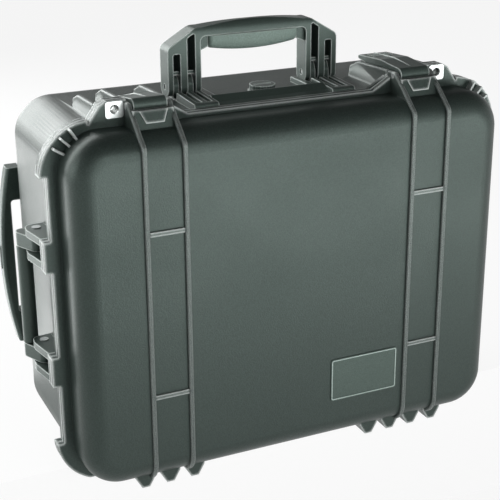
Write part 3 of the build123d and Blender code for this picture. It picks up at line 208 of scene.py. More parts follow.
def cut_foam(name, code, cell, scored=None):
    """Open-cell foam: dull and full of pores of about cell; scored foam shows squares of scored."""
    material, tree, output, place = new_material(name)
    pores = add_node(tree, "ShaderNodeTexVoronoi", {"Vector": place}, {"Scale": 1 / cell})
    height = pores.outputs["Distance"]
    if scored:
        upright = add_node(tree, "ShaderNodeMapping", {"Vector": place},
                           {"Rotation": (math.radians(90), 0, 0)})
        cuts = add_node(tree, "ShaderNodeTexBrick", {"Vector": upright.outputs["Vector"]},
                        {"Scale": 1.0, "Mortar Size": 0.6 * MM, "Brick Width": scored,
                         "Row Height": scored, "Mortar Smooth": 0.3}, offset=0.0)
        deep = add_node(tree, "ShaderNodeMath", {0: cuts.outputs["Fac"]}, {1: -2.0},
                        operation="MULTIPLY")
        height = add_node(tree, "ShaderNodeMath", {0: height, 1: deep.outputs["Value"]},
                          operation="ADD").outputs["Value"]
    tone = add_node(tree, "ShaderNodeMapRange", {"Value": height},
                    {"From Min": -1.0, "From Max": 0.8, "To Min": 0.45, "To Max": 1.25})
    colour = add_node(tree, "ShaderNodeVectorMath", {"Scale": tone.outputs["Result"]},
                      {0: linear(code)[:3]}, operation="SCALE")
    bump = add_node(tree, "ShaderNodeBump", {"Height": height},
                    {"Strength": 0.7, "Distance": 0.8 * MM})
    shader = add_node(tree, "ShaderNodeBsdfPrincipled",
                      {"Base Color": colour.outputs["Vector"], "Normal": bump.outputs["Normal"]},
                      {"Roughness": 0.95, "Sheen Weight": 0.25, "Sheen Roughness": 0.6})
    tree.links.new(shader.outputs["BSDF"], output.inputs["Surface"])
    return material


MATERIALS = {}
# the finish of each CAD node that is carried over as it is
FINISHES = {
    "shell": ["lid_shell"],
    "fittings": ["left_latch_lever", "right_latch_lever", "left_latch_claw", "right_latch_claw",
                 "handle_bracket", "handle_frame", "valve_body", "valve_knob", "valve_nut",
                 "side_handle_mounts", "side_handle_frame", "trolley_housing", "pull_grip",
                 "wheel_housings"],
    "sleeve": ["side_handle_sleeve"],
    "tyre": ["upper_wheel_tyre", "lower_wheel_tyre"],
    "hub": ["upper_wheel_hub", "lower_wheel_hub"],
    "bearing": ["upper_wheel_bearings", "lower_wheel_bearings"],
    "button": ["release_button"],
    "label": ["label_plate"],
    "stainless": ["lid_padlock_plates", "base_padlock_plates"],
    "steel": ["latch_pins", "hinge_pins", "handle_pins", "side_handle_pins", "wheel_axles"],
    "anodised": ["trolley_outer_tubes", "pull_tubes"],
}


# ---- mesh helpers ----------------------------------------------------------------------------------
def new_object(name, mesh, material):
    """Link a finished mesh as an object with one material."""
    made = bpy.data.objects.new(name, mesh)
    bpy.context.scene.collection.objects.link(made)
    made.data.materials.clear()
    made.data.materials.append(material)
    return made


def mesh_of(bm, name):
    """A mesh from a bmesh, its doubles merged and its normals outwards."""
    bmesh.ops.remove_doubles(bm, verts=bm.verts, dist=MADE_WELD)
    bmesh.ops.recalc_face_normals(bm, faces=bm.faces)
    mesh = bpy.data.meshes.new(name)
    bm.to_mesh(mesh)
    bm.free()
    return mesh


def merged_copy(node, name, flat=1.0):
    """A copy of a CAD node's mesh, its doubles merged, and faces joined within flat degrees."""
    bm = bmesh.new()
    bm.from_mesh(NODES[node].data)
    bmesh.ops.remove_doubles(bm, verts=bm.verts, dist=CAD_WELD)
    if flat:
        bmesh.ops.dissolve_limit(bm, angle_limit=math.radians(flat), verts=bm.verts, edges=bm.edges)
    mesh = bpy.data.meshes.new(name)
    bm.to_mesh(mesh)
    bm.free()
    return mesh


def islands(node):
    """Lowest and highest corner of each loose part of a CAD node."""
    bm = bmesh.new()
    bm.from_mesh(NODES[node].data)
    bmesh.ops.remove_doubles(bm, verts=bm.verts, dist=CAD_WELD)
    left, found = set(bm.verts), []
    while left:
        heap, group = [left.pop()], []
        while heap:
            vert = heap.pop()
            group.append(vert.co.copy())
            for edge in vert.link_edges:
                other = edge.other_vert(vert)
                if other in left:
                    left.remove(other)
                    heap.append(other)
        found.append((Vector(min(p[i] for p in group) for i in range(3)),
                      Vector(max(p[i] for p in group) for i in range(3))))
    bm.free()
    return sorted(found, key=lambda box: tuple(round(c, 5) for c in box[0]))


def baked(made, name=None):
    """Turn an object with modifiers into a plain mesh object."""
    bpy.context.view_layer.update()
    graph = bpy.context.evaluated_depsgraph_get()
    mesh = bpy.data.meshes.new_from_object(made.evaluated_get(graph))
    made.modifiers.clear()
    made.data = mesh
    if name:
        made.name = name
    return made


def smooth(made, angle=35):
    """Smooth shading, with edges kept sharp that turn more than an angle in degrees."""
    made.data.shade_smooth()
    made.data.set_sharp_from_angle(angle=math.radians(angle))
    return made


def node_group(name, sizes):
    """A geometry node tree with a mesh in and out and named size inputs."""
    tree = bpy.data.node_groups.new(name, "GeometryNodeTree")
    tree.interface.new_socket("Geometry", in_out="INPUT", socket_type="NodeSocketGeometry")
    for label, kind in sizes:
        tree.interface.new_socket(label, in_out="INPUT", socket_type=kind)
    tree.interface.new_socket("Geometry", in_out="OUTPUT", socket_type="NodeSocketGeometry")
    return tree, add_node(tree, "NodeGroupInput"), add_node(tree, "NodeGroupOutput")


def end_tree(tree, output, geometry, material):
    """Close a tree with Realize Instances and Set Material."""
    real = add_node(tree, "GeometryNodeRealizeInstances", {"Geometry": geometry})
    paint = add_node(tree, "GeometryNodeSetMaterial", {"Geometry": real.outputs["Geometry"]},
                     {"Material": material})
    tree.links.new(paint.outputs["Geometry"], output.inputs["Geometry"])


def run_tree(made, tree, sizes):
    """Run a geometry node tree on an object with the given inputs and keep the result."""
    modifier = made.modifiers.new(tree.name, "NODES")
    modifier.node_group = tree
    for socket in tree.interface.items_tree:
        if socket.in_out == "INPUT" and socket.name in sizes:
            modifier[socket.identifier] = sizes[socket.name]
    return baked(made)


def bar_tree(material):
    """A row of round-edged bars, one on each point of the mesh that comes in."""
    tree, source, output = node_group("row_of_bars", [
        ("Length", "NodeSocketFloat"), ("Width", "NodeSocketFloat"), ("Height", "NodeSocketFloat")])
    ends = add_node(tree, "GeometryNodeCurvePrimitiveLine")
    half = add_node(tree, "ShaderNodeMath", {0: source.outputs["Length"]}, {1: 0.5},
                    operation="MULTIPLY")
    back = add_node(tree, "ShaderNodeMath", {0: source.outputs["Length"]}, {1: -0.5},
                    operation="MULTIPLY")
    start = add_node(tree, "ShaderNodeCombineXYZ", {"X": back.outputs["Value"]})
    stop = add_node(tree, "ShaderNodeCombineXYZ", {"X": half.outputs["Value"]})
    tree.links.new(start.outputs["Vector"], ends.inputs["Start"])
    tree.links.new(stop.outputs["Vector"], ends.inputs["End"])
    section = add_node(tree, "GeometryNodeCurvePrimitiveQuadrilateral",
                       {"Width": source.outputs["Width"], "Height": source.outputs["Height"]})
    radius = add_node(tree, "ShaderNodeMath", {0: source.outputs["Width"]}, {1: 0.3},
                      operation="MULTIPLY")
    eased = add_node(tree, "GeometryNodeFilletCurve",
                     {"Curve": section.outputs["Curve"], "Radius": radius.outputs["Value"]},
                     {"Count": 3}, mode="POLY")
    bar = add_node(tree, "GeometryNodeCurveToMesh",
                   {"Curve": ends.outputs["Curve"], "Profile Curve": eased.outputs["Curve"]},
                   {"Fill Caps": True})
    placed = add_node(tree, "GeometryNodeInstanceOnPoints",
                      {"Points": source.outputs["Geometry"], "Instance": bar.outputs["Mesh"]})
    end_tree(tree, output, placed.outputs["Instances"], material)
    return tree


def points_object(name, points, material):
    """An object of loose points."""
    mesh = bpy.data.meshes.new(name)
    mesh.from_pydata([tuple(p) for p in points], [], [])
    return new_object(name, mesh, material)


# ---- operators ---------------------------------------------------------------------------------------
class CASE_OT_finishes(bpy.types.Operator):
    """Give every carried-over piece of the case its real finish"""

    bl_idname = "hardcase.finishes"
    bl_label = "Finishes"

    def execute(self, context):
        colours, sizes = context.scene.case_colours, context.scene.case_sizes
        grain, edge = sizes.grain, sizes.edge
        # name, colour, roughness, grain and its depth, strength of the painted highlight on crests and
        # corners, softness of edges, reach of that highlight
        plastics = {
            # structural polypropylene: a coarse leathery mould grain that breaks the light up, drawn
            # as coarse as it needs to show
            "shell": ("moulded_polypropylene_shell", colours.shell, 0.4, grain, 0.24 * MM, 1.0,
                      edge, 3.2 * MM),
            # glass-filled nylon: a finer, shallower grain, so the fittings look smoother
            "fittings": ("moulded_nylon_fittings", colours.fittings, 0.4, grain * 0.7, 0.08 * MM,
                         0.9, edge),
            # moulded rubber: duller, with little painted highlight at its edges
            "grip": ("thermoplastic_rubber", colours.grip, 0.62, grain * 0.6, 0.06 * MM, 0.1,
                     edge),
            "sleeve": ("thermoplastic_rubber_sleeve", "#3B4440", 0.5, grain * 0.6, 0.06 * MM, 0.2,
                       edge),
            # cast polyurethane: almost black and slightly scuffed
            "tyre": ("cast_polyurethane_tyre", "#1E1F1F", 0.6, grain, 0.1 * MM, 0.2, edge),
            # moulded nylon: dark, and smoother than the tyre round it
            "hub": ("moulded_nylon_hub", "#2E3231", 0.4, grain * 0.7, 0.05 * MM, 0.3, edge),
            # acetal: the glossiest of the moulded parts
            "button": ("acetal_button", "#6C7471", 0.35, grain * 0.6, 0.03 * MM, 0.2, edge),
            # satin plate and the line printed round it: almost no grain
            "label": ("satin_label_plate", colours.label, 0.36, grain * 0.5, 0.02 * MM, 0.0,
                      0.6 * MM),
            "border": ("pale_border_ink", "#B9C8C2", 0.45, grain * 0.5, 0.01 * MM, 0.0, 0.3 * MM),
            # neoprene: nearly black and dull
            "gasket": ("neoprene_gasket", "#151616", 0.55, grain * 0.5, 0.03 * MM, 0.0, 0.3 * MM),
        }
        # name, colour, roughness, length of a scratch, how many times finer on each axis
        metals = {
            # rolled stainless sheet: bright, its rolling lines upright
            "stainless": ("rolled_stainless_sheet", "#B4B9B8", 0.34, 1.6 * MM, (30, 30, 1)),
            # zinc-plated steel: a grey, slightly broken shine
            "steel": ("zinc_plated_steel", "#A9ACAC", 0.33, 1.2 * MM),
            # drawn anodised tube: its draw lines run along it
            "anodised": ("drawn_anodised_aluminium", "#8F9493", 0.34, 1.6 * MM, (1, 30, 30)),
            # ground bearing steel: the brightest metal
            "bearing": ("ground_bearing_steel", "#C9CCCC", 0.18, 1.0 * MM),
        }
        # polyurethane foam, dull and dark; the block in the base is scored into small squares
        pore, square = 1.2 * MM, 16.5 * MM
        foams = {"foam": ("polyurethane_foam", colours.foam, pore),
                 "scored": ("scored_polyurethane_foam", colours.foam, pore, square)}
        for make, finishes in ((moulded_plastic, plastics), (brushed_metal, metals),
                               (cut_foam, foams)):
            for key, values in finishes.items():
                MATERIALS[key] = make(*values)
        for key, names in FINISHES.items():
            for place in [slot for name in names for slot in NODES[name].material_slots]:
                place.link = "OBJECT"
                place.material = MATERIALS[key]
        return {"FINISHED"}


class CASE_OT_base_moulding(bpy.types.Operator):
    """Base shell as the one moulding it is, its walls joined without a seam"""

    bl_idname = "hardcase.base_moulding"
    bl_label = "Base moulding"

    WALLS = ("base_rim", "base_left_wall", "base_right_wall", "base_top_wall", "base_bottom_wall",
             "base_back")

    def execute(self, context):
        walls = [new_object(f"{node}_part", merged_copy(node, f"{node}_part", flat=0),
                            MATERIALS["shell"]) for node in self.WALLS]
        for wall in walls[1:]:
            join = walls[0].modifiers.new(wall.name, "BOOLEAN")
            join.operation, join.object, join.solver = "UNION", wall, "EXACT"
        moulding = baked(walls[0], "base_moulding")
        for wall in walls[1:]:
            bpy.data.objects.remove(wall)
        bm = bmesh.new()
        bm.from_mesh(moulding.data)
        bmesh.ops.remove_doubles(bm, verts=bm.verts, dist=JOIN_WELD)
        bm.to_mesh(moulding.data)
        bm.free()
        smooth(moulding, angle=32)
        even = moulding.modifiers.new("even shading", "WEIGHTED_NORMAL")
        even.mode, even.keep_sharp = "FACE_AREA_WITH_ANGLE", True
        baked(moulding)
        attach(moulding, "base")
        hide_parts(*self.WALLS)
        return {"FINISHED"}


class CASE_OT_lid_foam(bpy.types.Operator):
    """Convoluted foam that fills the lid"""

    bl_idname = "hardcase.lid_foam"
    bl_label = "Lid foam"

    STEPS = 8  # mesh steps from one foam peak to the next
    BEHIND = 10 * MM  # how far the waves' back stands behind the block they are cut by

    def execute(self, context):
        sizes = context.scene.case_sizes
        low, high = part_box("lid_foam")
        step = sizes.foam_pitch / self.STEPS
        # rows and columns of vertices, past the block on every side
        across = int((high.x - low.x) / step) + 3
        up = int((high.z - low.z) / step) + 3
        wave = 2 * math.pi / sizes.foam_pitch
        bm = bmesh.new()
        rows = []
        for j in range(up):
            row = []
            for i in range(across):
                x, z = low.x - step + i * step, low.z - step + j * step
                crest = math.sin(wave * x) * math.sin(wave * z)
                y = high.y - sizes.foam_relief * (1 - crest)
                row.append(bm.verts.new((x, y, z)))
            rows.append(row)
        back = [[bm.verts.new((v.co.x, low.y - self.BEHIND, v.co.z)) for v in row]
                for row in rows]
        for grid in (rows, back):
            for j in range(up - 1):
                for i in range(across - 1):
                    bm.faces.new((grid[j][i], grid[j][i + 1], grid[j + 1][i + 1], grid[j + 1][i]))
        rim = ([(0, i) for i in range(across)] + [(j, across - 1) for j in range(1, up)]
               + [(up - 1, i) for i in range(across - 2, -1, -1)]
               + [(j, 0) for j in range(up - 2, 0, -1)])
        for (j0, i0), (j1, i1) in zip(rim, rim[1:] + rim[:1]):
            bm.faces.new((rows[j0][i0], rows[j1][i1], back[j1][i1], back[j0][i0]))
        waves = new_object("lid_foam_waves", mesh_of(bm, "lid_foam_waves"), MATERIALS["foam"])
        block = new_object("lid_foam_block", merged_copy("lid_foam", "lid_foam_block"),
                           MATERIALS["foam"])
        cut = waves.modifiers.new("block", "BOOLEAN")
        cut.operation, cut.object, cut.solver = "INTERSECT", block, "EXACT"
        foam = baked(waves, "convoluted_lid_foam")
        bpy.data.objects.remove(block)
        smooth(foam, angle=50)
        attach(foam, "lid")
        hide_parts("lid_foam")
        return {"FINISHED"}


class CASE_OT_base_foam(bpy.types.Operator):
    """Foam block with its pockets, and the pad behind it"""

    bl_idname = "hardcase.base_foam"
    bl_label = "Base foam"

    def execute(self, context):
        sizes = context.scene.case_sizes
        for node, name, material in (("base_foam_block", "pocketed_base_foam", "scored"),
                                     ("base_foam_pad", "base_foam_pad_soft", "foam")):
            foam = new_object(name, merged_copy(node, name), MATERIALS[material])
            ease = foam.modifiers.new("cut edges", "BEVEL")
            ease.width, ease.segments, ease.limit_method = sizes.foam_round, 3, "ANGLE"
            ease.angle_limit = math.radians(50)
            foam = baked(foam)
            smooth(foam, angle=40)
            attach(foam, "base")
            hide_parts(node)
        return {"FINISHED"}


class CASE_OT_gasket(bpy.types.Operator):
    """Rubber cord gasket that follows the lid's groove"""

    bl_idname = "hardcase.gasket"
    bl_label = "Gasket"

    WIDTH, CORNER = 1.8 * MM, 43 * MM
    EASE = 0.42  # rounding of the cord's own edges, as a share of its width

    def execute(self, context):
        low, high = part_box("rim_gasket")
        tree, source, output = node_group("gasket_sweep", [
            ("Long", "NodeSocketFloat"), ("Tall", "NodeSocketFloat"), ("Corner", "NodeSocketFloat"),
            ("Width", "NodeSocketFloat"), ("Depth", "NodeSocketFloat")])
        path = add_node(tree, "GeometryNodeCurvePrimitiveQuadrilateral",
                        {"Width": source.outputs["Long"], "Height": source.outputs["Tall"]})
        bend = add_node(tree, "GeometryNodeFilletCurve",
                        {"Curve": path.outputs["Curve"], "Radius": source.outputs["Corner"]},
                        {"Count": 24}, mode="POLY")
        section = add_node(tree, "GeometryNodeCurvePrimitiveQuadrilateral",
                           {"Width": source.outputs["Width"], "Height": source.outputs["Depth"]})
        ease = add_node(tree, "ShaderNodeMath", {0: source.outputs["Width"]}, {1: self.EASE},
                        operation="MULTIPLY")
        rounded = add_node(tree, "GeometryNodeFilletCurve",
                           {"Curve": section.outputs["Curve"], "Radius": ease.outputs["Value"]},
                           {"Count": 5}, mode="POLY")
        swept = add_node(tree, "GeometryNodeCurveToMesh",
                         {"Curve": bend.outputs["Curve"],
                          "Profile Curve": rounded.outputs["Curve"]})
        end_tree(tree, output, swept.outputs["Mesh"], MATERIALS["gasket"])
        start = points_object("rubber_rim_gasket", [(0, 0, 0)], MATERIALS["gasket"])
        gasket = run_tree(start, tree, {
            "Long": high.x - low.x - self.WIDTH, "Tall": high.z - low.z - self.WIDTH,
            "Corner": self.CORNER, "Width": self.WIDTH, "Depth": high.y - low.y})
        gasket.data.transform(Matrix.Translation((low + high) / 2)
                              @ Matrix.Rotation(math.radians(90), 4, "X"))
        smooth(gasket, angle=40)
        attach(gasket, "lid")
        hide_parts("rim_gasket")
        return {"FINISHED"}


class CASE_OT_screws(bpy.types.Operator):
    """Cross-head screws of the bracket and of the pull handle housing"""

    bl_idname = "hardcase.screws"
    bl_label = "Screws"

    HEAD_R, SHANK_R, HEAD_T = 4 * MM, 2 * MM, 2.4 * MM
    SIDES = 24
    # outline from the middle of the head down its edge, as shares of its radius and thickness
    DOME = ((0, -0.12), (0.55, -0.02), (0.86, -0.22), (1, -0.55), (1, -1))
    CROSS = (1.15, 0.24)  # length and width of the recess's arms, as shares of the head's radius

    def execute(self, context):
        for node, name, head_at, turn_deg in (
                ("bracket_screws", "bracket_screws_crosshead", "low", 180),
                ("trolley_screws", "housing_screws_crosshead", "back", -90)):
            boxes = islands(node)
            length = max(boxes[0][1] - boxes[0][0])
            turn = Matrix.Rotation(math.radians(turn_deg), 4, "X")
            screw = new_object("screw_form", self.form(length, turn), MATERIALS["steel"])
            tops = [Vector(((a.x + b.x) / 2, b.y, (a.z + b.z) / 2)) if head_at == "back"
                    else Vector(((a.x + b.x) / 2, (a.y + b.y) / 2, a.z)) for a, b in boxes]
            tree, source, output = node_group(name, [("Screw", "NodeSocketObject")])
            info = add_node(tree, "GeometryNodeObjectInfo", {"Object": source.outputs["Screw"]})
            placed = add_node(tree, "GeometryNodeInstanceOnPoints",
                              {"Points": source.outputs["Geometry"],
                               "Instance": info.outputs["Geometry"]})
            end_tree(tree, output, placed.outputs["Instances"], MATERIALS["steel"])
            made = run_tree(points_object(name, tops, MATERIALS["steel"]), tree, {"Screw": screw})
            bpy.data.objects.remove(screw)
            smooth(made)
            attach(made, "base")
            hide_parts(node)
        return {"FINISHED"}

    def form(self, length, turn):
        """A pan-head screw with a cross recess, its head's top at the origin."""
        bm = bmesh.new()
        profile = [(radius * self.HEAD_R, z * self.HEAD_T) for radius, z in self.DOME]
        profile += [(self.SHANK_R, -self.HEAD_T), (self.SHANK_R, -length + self.SHANK_R),
                    (0, -length)]
        rings = []
        for radius, z in profile:
            if radius == 0:
                rings.append([bm.verts.new((0, 0, z))])
            else:
                angles = [math.tau * k / self.SIDES for k in range(self.SIDES)]
                rings.append([bm.verts.new((radius * math.cos(angle), radius * math.sin(angle), z))
                              for angle in angles])
        for a, b in zip(rings, rings[1:]):
            for k in range(self.SIDES):
                corners = [a[k % len(a)], a[(k + 1) % len(a)], b[(k + 1) % len(b)], b[k % len(b)]]
                # a ring that is one point gives a triangle
                bm.faces.new(list(dict.fromkeys(corners)))
        body = bpy.data.objects.new("screw_body", mesh_of(bm, "screw_body"))
        bm = bmesh.new()
        for arm in (self.CROSS, self.CROSS[::-1]):
            size = [share * self.HEAD_R for share in arm]
            bmesh.ops.create_cube(bm, size=1, matrix=Matrix.Diagonal((*size, self.HEAD_T, 1)))
        cross = bpy.data.objects.new("screw_cross", mesh_of(bm, "screw_cross"))
        for made in (body, cross):
            bpy.context.scene.collection.objects.link(made)
        cut = body.modifiers.new("cross", "BOOLEAN")
        cut.operation, cut.object, cut.solver, cut.use_self = "DIFFERENCE", cross, "EXACT", True
        baked(body)
        mesh = body.data
        mesh.transform(turn)
        bpy.data.objects.remove(body)
        bpy.data.objects.remove(cross)
        return mesh


class CASE_OT_grips(bpy.types.Operator):
    """Soft grip under the carry handle, and the ridges of the latch levers"""

    bl_idname = "hardcase.grips"
    bl_label = "Grips"

    STEPS, AROUND = 40, 28  # sections along the grip, and points round each
    SHALLOW, SLIM = 5.3 * MM, 1.2 * MM  # what the ends lose of the depth, and of half the width
    # round ends: their start and run as shares of half the length, and how far they close in
    CAP_FROM, CAP_RUN, CAP_SHRINK = 0.95, 0.05, 0.2
    FLAT_POWER, DROP_POWER = 0.55, 0.75  # the lower, the squarer the section
    # ridges of a latch lever: the first one's distance from the pivot, and the step back from it
    RIDGE_FIRST, RIDGE_STEP = 79 * MM, 4.2 * MM
    RIDGE_LENGTH, RIDGE_SIZE = 26 * MM, 1.6 * MM
    # the lever's back turns down at BEND, BACK above the pivot, and falls FALL in RUN
    BEND, BACK, PROUD = 41 * MM, 2 * MM, 0.1 * MM
    FALL, RUN = 14, 48

    def execute(self, context):
        low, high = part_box("handle_grip")
        middle, half = (low + high) / 2, (high - low) / 2
        bm = bmesh.new()
        rings = []
        for i in range(self.STEPS + 1):
            t = -1 + 2 * i / self.STEPS
            swell = 1 - abs(t) ** 2
            # round end caps close in over the last part of the length
            end = max(0.0, (abs(t) - self.CAP_FROM) / self.CAP_RUN)
            cap = math.sqrt(max(0.0, 1 - end ** 2)) * self.CAP_SHRINK + (1 - self.CAP_SHRINK)
            depth = (2 * half.z - self.SHALLOW * (1 - swell)) * cap
            thick = (half.y - self.SLIM + self.SLIM * swell) * cap
            ring = []
            for k in range(self.AROUND):
                a = math.pi + math.pi * k / (self.AROUND - 1)
                flat = abs(math.cos(a)) ** self.FLAT_POWER * math.copysign(1, math.cos(a))
                drop = abs(math.sin(a)) ** self.DROP_POWER
                ring.append(bm.verts.new((middle.x + t * half.x, middle.y + flat * thick,
                                          high.z - drop * depth)))
            rings.append(ring)
        for a, b in zip(rings, rings[1:]):
            for k in range(self.AROUND - 1):
                bm.faces.new((a[k], a[k + 1], b[k + 1], b[k]))
            bm.faces.new((a[-1], a[0], b[0], b[-1]))
        bm.faces.new(rings[0][::-1])
        bm.faces.new(rings[-1])
        grip = new_object("carry_handle_grip", mesh_of(bm, "carry_handle_grip"), MATERIALS["grip"])
        smooth(grip, angle=50)
        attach(grip, "carry_handle")
        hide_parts("handle_grip")
        self.thumb_ridges(context.scene.case_sizes)
        return {"FINISHED"}

    def thumb_ridges(self, sizes):
        """A few low ridges across the tip of each lever."""
        tree = bar_tree(MATERIALS["fittings"])
        slope = math.atan2(-self.FALL, self.RUN)
        points = [Vector((0, self.RIDGE_FIRST - self.RIDGE_STEP * k, 0))
                  for k in range(sizes.thumb_ridges)]
        for side in ("left", "right"):
            joint = next(j for j in frame["joints"] if j["name"] == f"{side}_latch_pivot")
            lift = -math.radians(joint["range_deg"][0])
            pivot = Vector(joint["pos_m"])
            start = points_object(f"{side}_thumb_ridges", points, MATERIALS["fittings"])
            made = run_tree(start, tree, {"Length": self.RIDGE_LENGTH, "Width": self.RIDGE_SIZE,
                                          "Height": self.RIDGE_SIZE})
            # along the lever's back, which slopes down behind its pivot
            place = (Matrix.Translation(pivot) @ Matrix.Rotation(lift, 4, "X")
                     @ Matrix.Translation((0, self.BEND, self.BACK))
                     @ Matrix.Rotation(slope, 4, "X")
                     @ Matrix.Translation((0, -self.BEND, self.PROUD)))
            made.data.transform(place)
            smooth(made)
            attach(made, f"{side}_latch")


class CASE_OT_label_border(bpy.types.Operator):
    """Thin pale line round the bare label plate"""

    bl_idname = "hardcase.label_border"
    bl_label = "Label border"

    WIDTH, HEIGHT, CORNER = 1.1 * MM, 0.3 * MM, 2 * MM
    MARGIN = 3.2 * MM  # how much shorter the line's rectangle is than the plate, both ways

    def execute(self, context):
        low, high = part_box("label_plate")
        tree, source, output = node_group("label_border_line", [
            ("Long", "NodeSocketFloat"), ("Tall", "NodeSocketFloat"), ("Width", "NodeSocketFloat")])
        path = add_node(tree, "GeometryNodeCurvePrimitiveQuadrilateral",
                        {"Width": source.outputs["Long"], "Height": source.outputs["Tall"]})
        turned = add_node(tree, "GeometryNodeFilletCurve", {"Curve": path.outputs["Curve"]},
                          {"Radius": self.CORNER, "Count": 6}, mode="POLY")
        section = add_node(tree, "GeometryNodeCurvePrimitiveQuadrilateral",
                           {"Width": source.outputs["Width"]}, {"Height": self.HEIGHT})
        swept = add_node(tree, "GeometryNodeCurveToMesh",
                         {"Curve": turned.outputs["Curve"],
                          "Profile Curve": section.outputs["Curve"]})
        end_tree(tree, output, swept.outputs["Mesh"], MATERIALS["border"])
        start = points_object("label_border", [(0, 0, 0)], MATERIALS["border"])
        line = run_tree(start, tree, {
            "Long": high.x - low.x - self.MARGIN, "Tall": high.z - low.z - self.MARGIN,
            "Width": self.WIDTH})
        line.data.transform(Matrix.Translation(((low.x + high.x) / 2, low.y, (low.z + high.z) / 2))
                            @ Matrix.Rotation(math.radians(90), 4, "X"))
        smooth(line, angle=30)
        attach(line, "lid")
        return {"FINISHED"}


class CASE_OT_back_ribs(bpy.types.Operator):
    """Stiffening ribs in the recess of the pull handle housing"""

    bl_idname = "hardcase.back_ribs"
    bl_label = "Back ribs"

    WIDTH, HEIGHT = 5 * MM, 4 * MM
    FLOOR, LIFT = 4 * MM, 2.4 * MM  # the recess's floor in the housing, and a rib's middle over it
    SPREAD = 112 * MM  # from the middle of the first rib to that of the last
    SHORTER = 56 * MM  # how much shorter than the housing a rib is

    def execute(self, context):
        count = context.scene.case_sizes.back_ribs
        low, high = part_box("trolley_housing")
        points = [Vector(((low.x + high.x) / 2, low.y + self.FLOOR + self.LIFT,
                          (low.z + high.z) / 2 + self.SPREAD * (k / (count - 1) - 0.5)))
                  for k in range(count)]
        start = points_object("housing_ribs", points, MATERIALS["fittings"])
        made = run_tree(start, bar_tree(MATERIALS["fittings"]),
                        {"Length": high.x - low.x - self.SHORTER, "Width": self.WIDTH,
                         "Height": self.HEIGHT})
        smooth(made)
        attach(made, "base")
        return {"FINISHED"}


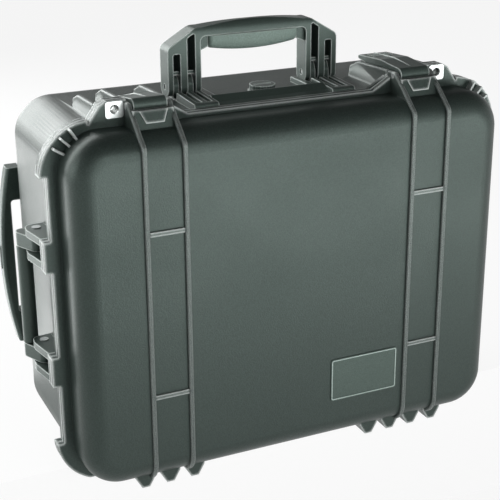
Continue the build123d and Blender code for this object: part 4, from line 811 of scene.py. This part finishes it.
class CASE_OT_stage(bpy.types.Operator):
    """Studio floor, world, lamps and camera"""

    bl_idname = "hardcase.stage"
    bl_label = "Stage"

    # name, place, target, width and length in metres, power in watts
    LAMPS = (
        ("front_low_panel", (1.0, -2.05, -0.18), (1.0, -2.05, 1.0), 2.2, 1.9, 84),
        ("left_low_panel", (-0.7, 0.85, 0.01), (-0.7, 0.85, 1.0), 1.0, 1.3, 10),
        ("left_softbox", (-0.85, 1.45, 0.98), (-0.25, 0.05, 0.35), 1.7, 1.5, 44),
        ("left_side_softbox", (-1.6, 0.1, 0.75), (-0.28, 0.0, 0.3), 0.8, 1.0, 9),
        ("front_softbox", (0.2, -2.3, 0.9), (0, -0.13, 0.3), 1.2, 0.8, 16))
    CAMERA_PLACE, CAMERA_TURN_DEG = (-0.5812, -1.2633, 0.7507), (69.0696, 0.3643, -24.8393)
    LENS_MM, SENSOR_MM = 88.43, 36.0
    NEAREST, FARTHEST = 0.05, 50
    # the world's strength at the horizon and overhead, and the height (Z of a direction one long)
    # at which the dark ceiling starts
    HORIZON, CEILING, CEILING_FROM = 0.42, 0.04, 0.42
    MIRRORED = 2.38  # how many times brighter the world is in reflections

    def execute(self, context):
        scene = context.scene
        scene.view_settings.view_transform = "Standard"
        self.world(scene)
        self.floor(scene.case_colours.floor)
        for name, place, target, width, length, power in self.LAMPS:
            lamp = bpy.data.lights.new(name, "AREA")
            lamp.shape, lamp.size, lamp.size_y, lamp.energy = "RECTANGLE", width, length, power
            made = bpy.data.objects.new(name, lamp)
            made.location = place
            aim = Vector(target) - Vector(place)
            made.rotation_euler = aim.to_track_quat("-Z", "Y").to_euler()
            made.visible_camera = False
            scene.collection.objects.link(made)
        camera = bpy.data.cameras.new("studio_camera")
        camera.sensor_width, camera.lens = self.SENSOR_MM, self.LENS_MM
        camera.clip_start, camera.clip_end = self.NEAREST, self.FARTHEST
        made = bpy.data.objects.new("studio_camera", camera)
        made.location = self.CAMERA_PLACE
        made.rotation_euler = [math.radians(turn) for turn in self.CAMERA_TURN_DEG]
        scene.collection.objects.link(made)
        scene.camera = made
        return {"FINISHED"}

    def world(self, scene):
        """White where it is seen; the light comes from a pale horizon under a dark ceiling."""
        world = bpy.data.worlds.new("studio")
        world.use_nodes = True
        tree = world.node_tree
        tree.nodes.clear()
        ray = add_node(tree, "ShaderNodeLightPath")
        seen = add_node(tree, "ShaderNodeMath", {0: ray.outputs["Is Camera Ray"],
                                                 1: ray.outputs["Is Transmission Ray"]},
                        operation="MAXIMUM")
        way = add_node(tree, "ShaderNodeSeparateXYZ",
                       {"Vector": add_node(tree, "ShaderNodeTexCoord").outputs["Generated"]})
        height = add_node(tree, "ShaderNodeMapRange", {"Value": way.outputs["Z"]},
                          {"From Min": 0.0, "From Max": self.CEILING_FROM,
                           "To Min": self.HORIZON, "To Max": self.CEILING})
        gloss = add_node(tree, "ShaderNodeMapRange", {"Value": ray.outputs["Is Glossy Ray"]},
                         {"To Min": 1.0, "To Max": self.MIRRORED})
        lit = add_node(tree, "ShaderNodeMath",
                       {0: height.outputs["Result"], 1: gloss.outputs["Result"]},
                       operation="MULTIPLY")
        strength = add_node(tree, "ShaderNodeMapRange",
                            {"Value": seen.outputs["Value"], "To Min": lit.outputs["Value"]},
                            {"To Max": 1.0})
        back = add_node(tree, "ShaderNodeBackground", {"Strength": strength.outputs["Result"]},
                        {"Color": (1, 1, 1, 1)})
        end = add_node(tree, "ShaderNodeOutputWorld")
        tree.links.new(back.outputs["Background"], end.inputs["Surface"])
        scene.world = world

    @staticmethod
    def floor(code):
        """A pale floor whose front drops a step behind the hinge, so that the lid can hang open."""
        reach, lip, drop = 16.0, -0.035, -0.19
        white_share = 0.9
        bm = bmesh.new()
        rows = [[bm.verts.new((x, y, z)) for x in (-reach, reach)]
                for y, z in ((reach, 0), (lip, 0), (lip, drop), (-reach, drop))]
        for a, b in zip(rows, rows[1:]):
            bm.faces.new((a[0], a[1], b[1], b[0]))
        floor = bpy.data.objects.new("studio_floor", bpy.data.meshes.new("studio_floor"))
        bm.to_mesh(floor.data)
        bm.free()
        bpy.context.scene.collection.objects.link(floor)
        # matt paint, which camera, reflection and transmission rays see mostly as a white glow
        material, tree, output, _ = new_material("matt_studio_floor")
        dull = add_node(tree, "ShaderNodeBsdfPrincipled",
                        values={"Base Color": linear(code), "Roughness": 0.9})
        glow = add_node(tree, "ShaderNodeEmission",
                        values={"Color": (1, 1, 1, 1), "Strength": 1.0})
        ray = add_node(tree, "ShaderNodeLightPath")
        sight = ray.outputs["Is Camera Ray"]
        for kind in ("Is Glossy Ray", "Is Transmission Ray"):
            sight = add_node(tree, "ShaderNodeMath", {0: sight, 1: ray.outputs[kind]},
                             operation="MAXIMUM").outputs["Value"]
        seen = add_node(tree, "ShaderNodeMath", {0: sight}, {1: white_share},
                        operation="MULTIPLY")
        mixed = add_node(tree, "ShaderNodeMixShader",
                         {0: seen.outputs["Value"], 1: dull.outputs["BSDF"],
                          2: glow.outputs["Emission"]})
        tree.links.new(mixed.outputs["Shader"], output.inputs["Surface"])
        floor.data.materials.append(material)


class CASE_PT_panel(bpy.types.Panel):
    """Sizes, colours and pieces of the case"""

    bl_idname = "CASE_PT_panel"
    bl_label = "Laptop Hard Case"
    bl_space_type = "VIEW_3D"
    bl_region_type = "UI"
    bl_category = "Hard Case"

    def draw(self, context):
        for group in (context.scene.case_colours, context.scene.case_sizes):
            box = self.layout.box()
            for name in group.__annotations__:
                box.prop(group, name)
        for operator in OPERATORS:
            self.layout.operator(operator.bl_idname)


OPERATORS = (CASE_OT_stage, CASE_OT_finishes, CASE_OT_base_moulding, CASE_OT_lid_foam,
             CASE_OT_base_foam, CASE_OT_gasket, CASE_OT_screws, CASE_OT_grips,
             CASE_OT_label_border, CASE_OT_back_ribs)
CLASSES = (CaseColours, CaseSizes, *OPERATORS, CASE_PT_panel)


def register():
    for cls in CLASSES:
        bpy.utils.register_class(cls)
    bpy.types.Scene.case_colours = PointerProperty(type=CaseColours)
    bpy.types.Scene.case_sizes = PointerProperty(type=CaseSizes)


def unregister():
    del bpy.types.Scene.case_sizes
    del bpy.types.Scene.case_colours
    for cls in reversed(CLASSES):
        bpy.utils.unregister_class(cls)


def main():
    register()
    for operator in OPERATORS:
        group, name = operator.bl_idname.split(".")
        getattr(getattr(bpy.ops, group), name)()


if __name__ == "__main__":
    main()
